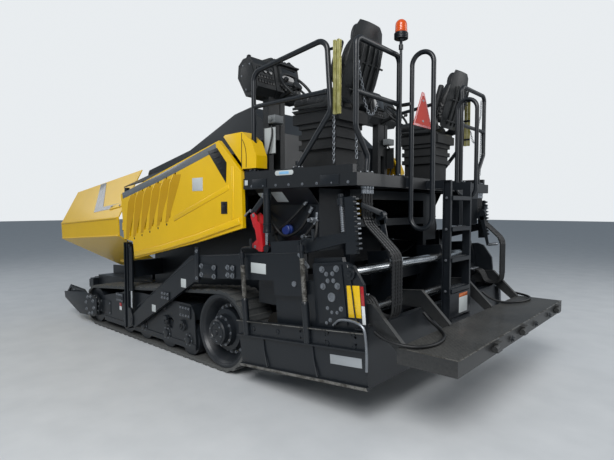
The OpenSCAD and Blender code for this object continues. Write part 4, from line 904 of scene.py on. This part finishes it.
# Deck and guard rails
# The deck is folded tear plate with a kerb along each side. Its rails are bent tube, each foot welded to
# a plate with four screws, with a clamp sleeve over each joint of the mid rails.
# raised tears catch the light on the tread, under a film of dust
tear_plate = dusted("black_tear_plate", "#101316", "#75736d", 0.45, 0.9, coat=0.1, peel=0.04)
tree = tear_plate.node_tree
turned_grid = add(tree, "Mapping", {"Vector": add(tree, "TexCoord").outputs["Object"],
                                    "Rotation": (0.0, 0.0, math.radians(45))})
tears = add(tree, "TexBrick", {"Vector": turned_grid.outputs[0], "Scale": 1.0, "Mortar Size": 0.011,
                               "Mortar Smooth": 0.4, "Brick Width": 0.05, "Row Height": 0.028})
shader = tree.nodes["Principled BSDF"]
below = shader.inputs["Normal"].links[0].from_socket
upward = add(tree, "SeparateXYZ", {"Vector": add(tree, "NewGeometry").outputs["Normal"]}).outputs["Z"]
level = add(tree, "MapRange", {"Value": upward, "From Min": 0.8, "From Max": 0.95, "To Max": 0.7})
bump = add(tree, "Bump", {"Height": tears.outputs["Fac"], "Strength": level.outputs[0], "Distance": 0.002,
                          "Normal": below}, invert=True)
tree.links.new(bump.outputs[0], shader.inputs["Normal"])
dress(tear_plate, "deck")
# smooth vinyl film, glossy under a clear layer
pale_blue = weathered("pale_blue_vinyl_film", "#7fb2d8", 0.3, 0.0, 90.0, 2.0, (0.25, 0.42),
                      **{"Coat Weight": 0.4})
RAIL = 1.222                         # the side rails' middle, from the middle plane
REAR = -1.605                        # the rear rail's middle, in length


def sleeve(mesh, centre, normal, radius, length, wall=0.006):
    """A clamp ring round a tube."""
    turned(mesh, centre, normal, [(radius + 0.0006, 0), (radius + wall * 0.7, 0.0), (radius + wall, 0.002),
                                  (radius + wall, length - 0.002), (radius + wall * 0.7, length),
                                  (radius + 0.0006, length)], 24)


for name, side in SIDES.items():
    out = Vector((0, side, 0))
    steel, heads, blank, film = [bmesh.new() for i in range(4)]
    # clamp sleeves: place, the tube's direction, its radius and the sleeve's length
    for x, y, z, way, radius, length in (
            (-0.50, RAIL, 1.932, (0, 0, 1), 0.0175, 0.03), (-1.03, RAIL, 1.95, (0, 0, 1), 0.0175, 0.03),
            (-0.53, RAIL, 2.49, (1, 0, 0), 0.0158, 0.035), (-1.335, RAIL, 2.49, (1, 0, 0), 0.0158, 0.035),
            (REAR, 0.64, 2.45, out, 0.0158, 0.03), (REAR, 1.17, 2.45, out, 0.0158, 0.03)):
        sleeve(steel, at(x, side * y, z), way, radius, length)
    # the posts' feet, with four screws each: place, and how far out the screws stand across the machine
    for x, y, z, half in ((-0.50, RAIL, 1.93, 0.018), (-1.03, RAIL, 1.93, 0.018), (REAR, 0.62, 1.87, 0.03),
                          (REAR, 1.085, 1.87, 0.03)):
        for dx in (-0.03, 0.03):
            for dy in (-half, half):
                screw(heads, at(x + dx, side * (y + dy), z), (0, 0, 1), 0.007)
    # screws along the deck's edge and its splice plates
    for i in range(8):
        screw(heads, at(-0.52 - i * 0.15, side * 1.27, 1.79), out, 0.008)
    for x in (-0.62, -1.4):
        side_plate(steel, side, rectangle(x - 0.09, 1.775, x + 0.09, 1.85), 1.2698, 0.006, 0.002)
    side_plate(blank, side, pill(-0.83, 1.89, -0.17, 0.0, 0.02), 1.2661, 0.0016, 0.0005)
    side_plate(film, side, rectangle(-0.97, 1.879, -0.86, 1.901), 1.2678, 0.0008, 0.0002)
    side_plate(blank, side, rectangle(-0.475, 1.80, -0.435, 1.845), 1.2761, 0.0012, 0.0003)
    # blank plates on the sloping skirt and on its front corner
    slope = Vector((0, side * 0.707, -0.707))
    for x0, x1, low, high in ((-0.80, -0.66, 1.655, 1.74), (-0.575, -0.49, 1.68, 1.735)):
        corners = [at(px, side * (1.2 - (1.765 - pz) * 136 / 135), pz) + slope * 0.001
                   for px, pz in rectangle(x0, low, x1, high)]
        slab(blank, corners, slope * 0.0016, 0.0004)
    piece("deck_fittings_" + name, steel, black_enamel, "paver")
    piece("deck_screws_" + name, heads, zinc, "paver")
    piece("deck_plates_" + name, blank, label, "paver")
    piece("deck_plate_film_" + name, film, pale_blue, "paver")

# Stays and safety chains
# A pair of yellow-passivated steel channels is clipped beside each side rail, with spring clips. Plated
# chain hangs in loops on the rear rail and closes the way up when it is hooked across.
# the tint of the passivated zinc drifts between green and straw
yellow_zinc, tree, shader = finish("yellow_passivated_zinc", "#b9b06a", 0.34, 0.7)
rainbow = add(tree, "TexNoise", {"Vector": add(tree, "TexCoord").outputs["Object"], "Scale": 18.0,
                                 "Detail": 5.0})
hues = add(tree, "ValToRGB", {"Fac": rainbow.outputs["Fac"]})
hues.color_ramp.elements[0].position = 0.35
hues.color_ramp.elements[0].color = colour("#a9a45c")
hues.color_ramp.elements[1].position = 0.68
hues.color_ramp.elements[1].color = colour("#cfc98e")
tree.links.new(hues.outputs["Color"], shader.inputs["Base Color"])


def chain(mesh, points, pitch=0.021, thick=0.0026):
    """Welded links along a line of points, each turned a quarter from the one before."""
    lengths = lengths_along(points)
    for i in range(int(lengths[-1] / pitch)):
        done = (i + 0.5) * pitch
        k = max(j for j in range(len(points) - 1) if lengths[j] <= done)
        way = (points[k + 1] - points[k]).normalized()
        centre = points[k] + way * (done - lengths[k])
        across = way.cross(Vector((0.31, 0.55, 0.2))).normalized()
        if i % 2:
            across = across.cross(way)
        off = way.cross(across)
        rings = []
        for u, v in ring_of(10, 1.0):
            middle = centre + (u * way + v * across * 0.62) * pitch * 0.68
            away = (u * way + v * across).normalized()
            rings.append([mesh.verts.new(middle + wide * away + proud * off)
                          for wide, proud in ring_of(5, thick)])
        join(mesh, rings + rings[:1], around=True)


STAY_FOOT, STAY_HEAD = 2.31, 2.86    # how high the stays start and end
for name, side in SIDES.items():
    stays, clips, links = bmesh.new(), bmesh.new(), bmesh.new()
    # each channel: two flanges and the web between them
    for x in (-1.402, -1.438):
        for x0, x1, y, wide, bevel in ((x + 0.013, x - 0.013, 1.2, 0.003, 0.0008),
                                       (x + 0.013, x - 0.013, 1.219, 0.003, 0.0008),
                                       (x + 0.0105, x + 0.0135, 1.203, 0.016, 0.0)):
            side_plate(stays, side, rectangle(x0, STAY_FOOT, x1, STAY_HEAD), y, wide, bevel)
    for z in (2.37, 2.58, 2.8):
        side_plate(clips, side, rectangle(-1.335, z, -1.46, z + 0.022), 1.196, 0.0035, 0.001)
        screw(clips, at(-1.42, side * 1.196, z + 0.011), (0, -side, 0), 0.007)
    swag = [(-1.585, 1.10 - 0.2 * i / 8, 2.43 - 0.12 * math.sin(i * math.pi / 8)) for i in range(9)]
    for line in (((-1.585, 1.19, 2.79), (-1.59, 1.165, 2.62), (-1.585, 1.10, 2.475), (-1.588, 1.05, 2.44)),
                 swag,
                 ((-1.37, 1.195, 2.47), (-1.375, 1.19, 2.3), (-1.372, 1.188, 1.93)),
                 ((-1.585, 1.205, 2.47), (-1.584, 1.19, 2.2), (-1.585, 1.185, 1.95))):
        chain(links, on_side(side, line))
    piece("rail_stays_" + name, stays, yellow_zinc, "paver")
    piece("rail_clips_" + name, clips, black_enamel, "paver")
    piece("safety_chains_" + name, links, zinc, "paver", 60)

# Driving consoles
# Moulded pods of textured ABS. The instruments sit in the face towards the seat: a hooded screen, round
# gauges, rocker switches and joysticks with gaiters. A cast grey junction box hangs on the column.
# polished glass, dark when it is off, with smears
screen_glass = weathered("dark_screen_glass", "#06080a", 0.06, 0.0, 24.0, 4.0, (0.04, 0.2),
                         **{"Coat Weight": 1.0})
# painted castings keep the fine pebble of the sand mould
cast_grey = moulded("grey_cast_aluminium_box", "#6c7072", 0.5, 260.0, 0.3)
SEAT = 0.87                          # the seats' and wheels' middle, from the middle plane
INNER, OUTER = 3.0, 2.95             # how high the tops of the inner and outer pods stand


def on_pod(side, y, v, top, off=0.0):
    """A point on a pod's instrument face: v is 0 at its foot and 1 at its brow."""
    low, high = Vector((-0.52, 0, 2.68)), Vector((-0.47, 0, top - 0.06))
    way = (high - low).normalized()
    point = low.lerp(high, v) + off * Vector((-way.z, 0, way.x))
    return at(point.x, side * y, point.z)


def face_block(mesh, side, y0, y1, v0, v1, top, thick, bevel):
    """A flat block on a pod's instrument face, between two widths and two heights on it."""
    step = on_pod(side, 0, 0, top, thick) - on_pod(side, 0, 0, top)
    slab(mesh, [on_pod(side, y, v, top) for y, v in rectangle(y0, v0, y1, v1)], step, bevel)


def block(mesh, place, size, bevel, segments):
    """A box with rounded edges, where the matrix puts it."""
    made = bmesh.ops.create_cube(mesh, size=1, matrix=place @ Matrix.Diagonal((*size, 1)))
    bmesh.ops.bevel(mesh, geom=list({e for v in made["verts"] for e in v.link_edges}), offset=bevel,
                    offset_type="OFFSET", segments=segments, profile=0.5, affect="EDGES", material=-1)


for name, side in SIDES.items():
    out = Vector((0, side, 0))
    black, glass, grey, blank, heads, knobs = [bmesh.new() for i in range(6)]
    lean = on_pod(side, 0, 0, INNER, 1.0) - on_pod(side, 0, 0, INNER)
    # screen in its bezel, with a hood over it, and two rows of keys below
    face_block(black, side, 0.66, 0.90, 0.36, 0.95, INNER, 0.022, 0.006)
    face_block(glass, side, 0.68, 0.88, 0.44, 0.88, INNER, 0.0232, 0.002)
    face_block(black, side, 0.65, 0.91, 0.95, 1.0, INNER, 0.05, 0.004)
    for i in range(6):
        for v in (0.08, 0.22):
            face_block(knobs, side, 0.665 + i * 0.04, 0.69 + i * 0.04, v, v + 0.1, INNER, 0.008, 0.002)
    # gauges and rocker switches on the outer pod
    for i in range(3):
        centre = on_pod(side, 1.0 + i * 0.07, 0.78, OUTER)
        turned(black, centre, lean, [(0.029, 0), (0.029, 0.008), (0.024, 0.011), (0.0235, 0.005)], 24)
        turned(glass, centre, lean, [(0.0235, 0.006), (0, 0.0065)], 24)
    for i in range(6):
        for v in (0.2, 0.42):
            face_block(knobs, side, 0.975 + i * 0.034, 0.998 + i * 0.034, v, v + 0.15, OUTER, 0.007, 0.002)
    # joysticks with gaiters
    for y, top in ((0.64, 2.95), (1.16, 2.9)):
        turned(black, at(-0.37, side * y, top + 0.0495), (0, 0, 1),
               [(0.03, 0), (0.024, 0.01), (0.026, 0.016), (0.018, 0.026), (0.02, 0.032), (0.007, 0.04)], 20)
    # moulded edge ribs along each pod's brow, side panels and the cover screws
    for y0, y1, top in ((0.63, 0.94, INNER), (0.97, 1.185, OUTER)):
        for i in range(7):
            y = y0 + (y1 - y0) * (i + 0.5) / 7
            rib = ((-0.42, y - 0.014), (-0.32, y - 0.014), (-0.32, y + 0.014), (-0.42, y + 0.014))
            slab(black, [at(px, side * py, top - 0.0002) for px, py in rib], Vector((0, 0, 0.009)), 0.003)
    side_plate(black, side, [(-0.49, 2.70), (-0.455, 2.65), (-0.37, 2.65), (-0.29, 2.79), (-0.3, 2.87),
                             (-0.34, 2.91), (-0.41, 2.91), (-0.45, 2.87)], 1.1918, 0.006, 0.004)
    for x, z in ((-0.47, 2.71), (-0.37, 2.67), (-0.31, 2.8), (-0.33, 2.89), (-0.42, 2.89)):
        screw(heads, at(x, side * 1.1975, z), out, 0.006)
    # steering wheel: padded hub, spinner knob and column stalk
    hub = at(-0.69, side * SEAT, 2.70)
    tilt = Vector((-math.sin(math.radians(50)), 0, math.cos(math.radians(50))))
    turned(black, hub + tilt * 0.0125, tilt, [(0.05, 0), (0.046, 0.012), (0.03, 0.018), (0, 0.02)], 28)
    rim = hub + Vector((0, side * 0.17, 0))
    turned(knobs, rim + tilt * 0.011, tilt,
           [(0.008, 0), (0.008, 0.014), (0.02, 0.02), (0.024, 0.034), (0.018, 0.05), (0, 0.054)], 20)
    pipe(black, on_side(side, ((-0.56, 0.87, 2.665), (-0.6, 0.95, 2.68), (-0.63, 1.03, 2.7))), 0.006, 8, 4)
    # junction box, blank plate and cable on the outer column
    block(grey, Matrix.Translation(at(-0.525, side * 0.975, 2.41)), (0.09, 0.12, 0.075), 0.008, 3)
    turned(grey, at(-0.525, side * 1.034, 2.41), out,
           [(0.02, 0), (0.02, 0.012), (0.012, 0.016), (0, 0.016)], 20)
    side_plate(black, side, rectangle(-0.575, 2.09, -0.405, 2.345), 1.0198, 0.003, 0.001)
    side_plate(blank, side, rectangle(-0.57, 2.1, -0.425, 2.335), 1.0229, 0.0012, 0.0004)
    pipe(black, on_side(side, ((-0.5, 1.0, 2.37), (-0.55, 1.05, 2.25), (-0.5, 1.06, 2.05),
                               (-0.45, 1.03, 1.875))),
         0.009, 8, 6)
    piece("console_panels_" + name, black, textured_abs, "paver")
    piece("console_screens_" + name, glass, screen_glass, "paver")
    piece("console_keys_" + name, knobs, gloss_nylon, "paver")
    piece("console_box_" + name, grey, cast_grey, "paver")
    piece("console_plate_" + name, blank, label, "paver")
    piece("console_screws_" + name, heads, zinc, "paver")

# Beacon and sign
# An amber polycarbonate lens, fluted inside, on a ribbed black foot and a steel mast. The triangle
# is orange fluorescent sheet with a border of dark red reflective strip, on a steel plate.
# the lens is coloured through, and a little light passes it
amber, tree, shader = finish("amber_polycarbonate", "#d2500a", 0.22,
                             **{"Transmission Weight": 0.1, "IOR": 1.58})
flutes = add(tree, "TexWave", {"Vector": add(tree, "TexCoord").outputs["Object"], "Scale": 22.0,
                               "Distortion": 0.0}, bands_direction="Z")
bump = add(tree, "Bump", {"Height": flutes.outputs["Fac"], "Strength": 0.35, "Distance": 0.002})
tree.links.new(bump.outputs[0], shader.inputs["Normal"])
lens, foot = bmesh.new(), bmesh.new()
mast = at(-1.66, 0.69, 0)
# the lens stands straight and closes in a dome
profile = [(0.047, 2.995), (0.048, 3.0), (0.0465, 3.03), (0.046, 3.054)]
profile += [(along, 3.054 + up) for along, up in ring_of(24, 0.046)[1:6]]
turned(lens, mast, (0, 0, 1), profile + [(0, 3.1)], 48)
profile = [(0.0, 2.945), (0.052, 2.945)]
for i in range(4):
    profile += [(0.0555, 2.948 + i * 0.012), (0.0555, 2.953 + i * 0.012), (0.0515, 2.956 + i * 0.012)]
turned(foot, mast, (0, 0, 1), profile + [(0.05, 2.996), (0.0, 2.997)], 36)
turned(foot, mast, (0, 0, 1), [(0, 2.3), (0.011, 2.3), (0.011, 2.86), (0.018, 2.865), (0.018, 2.9),
                               (0.012, 2.905), (0.012, 2.93), (0.024, 2.945)], 20)
slab(foot, on_side(1, ((-1.66, 0.68, 2.44), (-1.6243, 0.68, 2.44), (-1.6243, 0.7, 2.44), (-1.66, 0.7, 2.44))),
     Vector((0, 0, 0.02)), 0.002)
piece("beacon_lens", lens, amber, "paver", 60)
foot_piece = piece("beacon_mast", foot, black_enamel, "paver", 40)
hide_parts("beacon")
# the sign's sheet is matt and glows in daylight, over small cells
sheeting, tree, shader = finish("orange_fluorescent_sheet", "#ae2203", 0.65)
cells = add(tree, "TexVoronoi", {"Vector": add(tree, "TexCoord").outputs["Object"], "Scale": 260.0})
bump = add(tree, "Bump", {"Height": cells.outputs["Distance"], "Strength": 0.2, "Distance": 0.001})
tree.links.new(bump.outputs[0], shader.inputs["Normal"])
dress(sheeting, "slow_sign")
border, fixings = bmesh.new(), bmesh.new()
corners = [Vector(p) for p in ((0.575, 2.28), (0.245, 2.28), (0.392, 2.57), (0.428, 2.57))]
centre = Vector((0.41, 2.385))
for a, b in zip(corners, corners[1:] + corners[:1]):
    ring = [a, b, b.lerp(centre, 0.17), a.lerp(centre, 0.17)]
    slab(border, [at(-1.7135, p.x, p.y) for p in ring], Vector((-0.0012, 0, 0)), 0.0)
piece("sign_border", border, red_prism, "paver")
for z in (2.33, 2.5):
    screw(fixings, at(-1.7134, 0.41, z), (-1, 0, 0), 0.007)
piece("sign_screws", fixings, zinc, "paver")

# Ladder and rear walkway
# The ladder is folded channel with pressed treads, and the walkway a folded box topped with tear plate. The
# walkway's edge strips are worn bright by boots, studs stand along its rear face and a hose lies on it.
dress(tear_plate, "walkway")
LADDER = -1.848                      # the treads' middle, in length
PANEL = -1.8883                      # the face of the panel between the treads
steel, heads, blank, film, edges, studs = [bmesh.new() for i in range(6)]
for z in (0.59, 0.86, 1.13, 1.4, 1.67):
    for i in range(9):
        turned(steel, at(LADDER, -0.16 + i * 0.04, z + 0.0338), (0, 0, 1),
               [(0.012, 0), (0.01, 0.004), (0.007, 0.004), (0.006, 0.0)], 12)
    for k in (-1, 1):
        screw(heads, at(LADDER, k * 0.2248, z + 0.017), (0, k, 0), 0.008)
# the panel, the blank plate on it and the plate's coloured band: face, outline, thickness and bevel
for mesh, x, outline, thick, bevel in ((steel, -1.8842, rectangle(-0.22, 0.64, 0.22, 0.85), 0.004, 0.002),
                                       (blank, PANEL, rectangle(-0.15, 0.66, 0.03, 0.80), 0.0012, 0.0003),
                                       (film, PANEL, rectangle(-0.15, 0.801, 0.03, 0.835), 0.0012, 0.0003)):
    slab(mesh, [at(x, y, z) for y, z in outline], Vector((-thick, 0, 0)), bevel)
piece("ladder_grips", steel, black_enamel, "paver")
piece("ladder_screws", heads, zinc, "paver")
piece("ladder_plate", blank, label, "paver")
piece("ladder_plate_band", film, prismatic("orange_marking_film", "#c8641c"), "paver")
# the walkway's edge strips and studs, and the hose across it
WALKWAY = 0.6482                     # just above its tread
for outline in (((-2.425, -1.262), (-2.425, 1.262), (-2.413, 1.262), (-2.413, -1.262)),
                ((-2.425, 1.252), (-2.425, 1.264), (-2.06, 1.264), (-2.06, 1.252))):
    slab(edges, [at(x, y, WALKWAY) for x, y in outline], Vector((0, 0, 0.0025)), 0.001)
for y in (0.29, 0.62, -0.34, -0.77, -1.02):
    turned(studs, at(-2.4302, y, 0.585), (-1, 0, 0),
           [(0.026, 0), (0.026, 0.006), (0.016, 0.01), (0.015, 0.02), (0, 0.022)], 20)
piece("walkway_edges", edges, worn_edge, "screed")
piece("walkway_studs", studs, black_enamel, "screed")
for name, side in SIDES.items():
    loop = bmesh.new()
    pipe(loop, on_side(side, (
        (-1.80, 1.255, 0.72), (-1.88, 1.265, 0.69), (-2.0, 1.262, 0.672), (-2.12, 1.2, 0.664),
        (-2.17, 1.04, 0.663), (-2.13, 0.84, 0.663), (-2.03, 0.70, 0.667), (-1.93, 0.64, 0.70),
        (-1.85, 0.62, 0.76))), 0.012, 10, 6)
    loop = piece("walkway_hose_" + name, loop, hose_rubber, None, 60)
    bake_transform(loop)

# Driver's seats
# Foam cushions in black vinyl on a moulded ABS shell. Each cushion is sewn from a crowned middle panel
# and two bolsters, so the foam swells between the seams; the back carries a headrest in one with it.
# embossed like leather, with a low shine where it is rubbed
vinyl = moulded("black_seat_vinyl", "#101214", 0.45, 420.0, 0.35)


def pad(stations):
    """A cage for a cushion: stations of height, half width, offset and thickness, each a rounded section."""
    cage = bmesh.new()
    rows = []
    for v, half, off, thick in stations:
        ring = []
        for u, w in ((-1, 0.25), (-0.93, 0.8), (-0.78, 1.0), (-0.6, 0.93), (0, 1.0), (0.6, 0.93), (0.78, 1.0),
                     (0.93, 0.8), (1, 0.25), (0.96, -0.3), (0.8, -0.5), (0, -0.5), (-0.8, -0.5),
                     (-0.96, -0.3)):
            ring.append(cage.verts.new((u * half, v, off + w * thick / 1.5)))
        rows.append(ring)
    join(cage, rows, around=True)
    for end in (rows[0], rows[-1]):
        cage.faces.new(end)
    bmesh.ops.recalc_face_normals(cage, faces=cage.faces)
    return cage


def swell(name, cage, cap):
    """Remeshes the cage, swells it by cloth pressure, caps how far a point moves, subdivides once."""
    data = bpy.data.meshes.new(name)
    cage.to_mesh(data)
    cage.free()
    made = bpy.data.objects.new(name, data)
    bpy.context.collection.objects.link(made)
    rounder = made.modifiers.new("round", "SUBSURF")
    rounder.levels = rounder.render_levels = 2
    voxels = made.modifiers.new("voxels", "REMESH")
    voxels.mode = "VOXEL"
    voxels.voxel_size = 0.006
    made.data = bpy.data.meshes.new_from_object(made.evaluated_get(bpy.context.evaluated_depsgraph_get()))
    made.modifiers.clear()
    before = [v.co.copy() for v in made.data.vertices]
    cloth = made.modifiers.new("cloth", "CLOTH")
    cloth.settings.use_pressure = True
    cloth.settings.uniform_pressure_force = 4.0
    cloth.settings.effector_weights.gravity = 0.0
    cloth.point_cache.frame_start, cloth.point_cache.frame_end = 1, 20
    for step in range(1, 21):
        bpy.context.scene.frame_set(step)
    swollen = made.evaluated_get(bpy.context.evaluated_depsgraph_get()).to_mesh()
    after = [v.co.copy() for v in swollen.vertices]
    made.modifiers.clear()
    bpy.context.scene.frame_set(1)
    for v, a, b in zip(made.data.vertices, before, after):
        move = b - a
        v.co = a + move * min(1.0, cap / max(move.length, 1e-9))
    smoother = made.modifiers.new("smooth", "SUBSURF")
    smoother.levels = smoother.render_levels = 1
    made.data = bpy.data.meshes.new_from_object(made.evaluated_get(bpy.context.evaluated_depsgraph_get()))
    made.modifiers.clear()
    made.data.shade_smooth()
    return made


def sewn(made, lines, depth=0.007, width=0.007):
    """Presses sewn channels into the padded mesh: lines are pairs of points, seen along the pad's face."""
    for v in made.data.vertices:
        if v.co.z < 0:
            continue
        for (ax, ay), (bx, by) in lines:
            way = Vector((bx - ax, by - ay))
            from_start = Vector((v.co.x - ax, v.co.y - ay))
            t = min(1.0, max(0.0, from_start.dot(way) / way.length_squared))
            gap = (from_start - t * way).length
            if gap < 3 * width:
                v.co.z -= depth * math.exp(-(gap / width) ** 2)


# stations up each pad: height, half width, offset forward and thickness
BACK = [(0.03, 0.18, 0.0, 0.07), (0.06, 0.205, 0.0, 0.10), (0.18, 0.222, 0.012, 0.115),
        (0.32, 0.222, 0.01, 0.105), (0.42, 0.205, 0.004, 0.09), (0.465, 0.19, 0.0, 0.08),
        (0.5, 0.182, 0.002, 0.085), (0.56, 0.17, 0.008, 0.09), (0.6, 0.14, 0.008, 0.07)]
CUSHION = [(0.02, 0.19, 0.0, 0.06), (0.05, 0.225, 0.0, 0.10), (0.2, 0.235, 0.0, 0.105),
           (0.36, 0.235, 0.004, 0.105), (0.43, 0.228, 0.0, 0.10), (0.465, 0.195, -0.004, 0.06)]
back = swell("seat_back", pad(BACK), 0.022)
sewn(back, [((-0.125, 0.05), (-0.135, 0.45)), ((0.125, 0.05), (0.135, 0.45)), ((-0.13, 0.14), (0.13, 0.14)),
            ((-0.13, 0.25), (0.13, 0.25)), ((-0.13, 0.36), (0.13, 0.36)), ((-0.18, 0.455), (0.18, 0.455))])
cushion = swell("seat_cushion", pad(CUSHION), 0.022)
sewn(cushion, [((-0.145, 0.03), (-0.145, 0.44)), ((0.145, 0.03), (0.145, 0.44)),
               ((-0.145, 0.16), (0.145, 0.16)), ((-0.145, 0.30), (0.145, 0.30))])
LEAN = math.radians(107)             # the back's slope from level
TIP = math.radians(3)                # the cushion's rise towards its front edge
UP = Vector((math.cos(LEAN), 0, math.sin(LEAN)))
FRONT = Vector((math.sin(LEAN), 0, -math.cos(LEAN)))
FOOT = (-1.315, 2.475)               # the back's lower edge, in length and height
# each pad's mesh, its lower edge, the way up it and the way out of its face
PLACES = {"back": (back, FOOT, UP, FRONT),
          "cushion": (cushion, (-1.275, 2.452), Vector((math.cos(TIP), 0, math.sin(TIP))),
                      Vector((-math.sin(TIP), 0, math.cos(TIP))))}


def on_back(side, u, v, off):
    """A point by the seat's back: u across it from its middle, v up it and off in front of it."""
    return at(FOOT[0], side * SEAT + u, FOOT[1]) + UP * v + FRONT * off


for name, side in SIDES.items():
    for kind, (source, (px, pz), up, front) in PLACES.items():
        mesh = bmesh.new()
        mesh.from_mesh(source.data)
        for v in mesh.verts:
            v.co = at(px, side * SEAT, pz) + up * v.co.y + front * v.co.z + Vector((0, side * v.co.x, 0))
        bmesh.ops.recalc_face_normals(mesh, faces=mesh.faces)
        data = bpy.data.meshes.new("seat_%s_%s" % (kind, name))
        mesh.to_mesh(data)
        mesh.free()
        data.shade_smooth()
        data.materials.append(vinyl)
        made = bpy.data.objects.new(data.name, data)
        bpy.context.collection.objects.link(made)
        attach(made, "paver")
        if kind == "back":
            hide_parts("seat_" + name)
    # moulded shell behind the back, its ribs, the pan under the cushion and the recliner covers
    shell, ribs, rests = bmesh.new(), bmesh.new(), bmesh.new()
    rows = []
    for v, half, off in ((0.0, 0.15, -0.075), (0.02, 0.2, -0.072), (0.18, 0.224, -0.075),
                         (0.34, 0.222, -0.078), (0.43, 0.205, -0.07), (0.5, 0.188, -0.06),
                         (0.57, 0.172, -0.052), (0.605, 0.14, -0.04)):
        rows.append([shell.verts.new(on_back(side, u * half, v, off + 0.045 * abs(u) ** 3))
                     for u in (-1, -0.8, -0.5, 0, 0.5, 0.8, 1)])
    join(shell, rows)
    bmesh.ops.recalc_face_normals(shell, faces=shell.faces)
    bmesh.ops.solidify(shell, geom=list(shell.faces), thickness=0.008)
    for u in (-0.12, -0.04, 0.04, 0.12):
        line = ((0.04, -0.078), (0.2, -0.082), (0.36, -0.085), (0.45, -0.078))
        pipe(ribs, [on_back(side, u, v, off) for v, off in line], 0.011, 8, 5)
    for v in (0.08, 0.3):
        pipe(ribs, [on_back(side, u, v, -0.08) for u in (-0.19, 0.0, 0.19)], 0.008, 8, 4)
    arm = ((-1.35, 2.44), (-1.22, 2.41), (-0.86, 2.43), (-0.86, 2.45), (-1.2, 2.45), (-1.28, 2.54),
           (-1.33, 2.56))
    for k in (-1, 1):
        turned(ribs, at(-1.30, side * SEAT + k * 0.232, 2.50), (0, k, 0),
               [(0.045, 0), (0.045, 0.012), (0.03, 0.02), (0, 0.02)], 28)
        slab(ribs, [at(x, side * SEAT + k * 0.226, z) for x, z in arm], Vector((0, k * 0.012, 0)), 0.004)
    pan = ((-1.31, 2.4), (-0.84, 2.4), (-0.81, 2.43), (-1.3, 2.425))
    slab(ribs, [at(x, side * SEAT - 0.2, z) for x, z in pan], Vector((0, 0.4, 0)), 0.006)
    piece("seat_shell_" + name, shell, textured_abs, "paver", 50)
    piece("seat_ribs_" + name, ribs, textured_abs, "paver", 50)
    # armrests, folded up beside the back, each on its pivot
    turn = Matrix.Rotation(math.radians(17), 4, "Y").inverted()
    for k in (-1, 1):
        place = Matrix.Translation(on_back(side, k * 0.252, 0.27, 0.055)) @ turn
        block(rests, place, (0.055, 0.052, 0.3), 0.02, 4)
        turned(rests, on_back(side, k * 0.222, 0.12, 0.03), (0, k, 0), [(0.022, 0), (0.022, 0.03)], 16)
    piece("seat_armrests_" + name, rests, vinyl, "paver", 60)
for source in (back, cushion):
    bpy.data.objects.remove(source)

bpy.context.scene.view_settings.view_transform = "Standard"
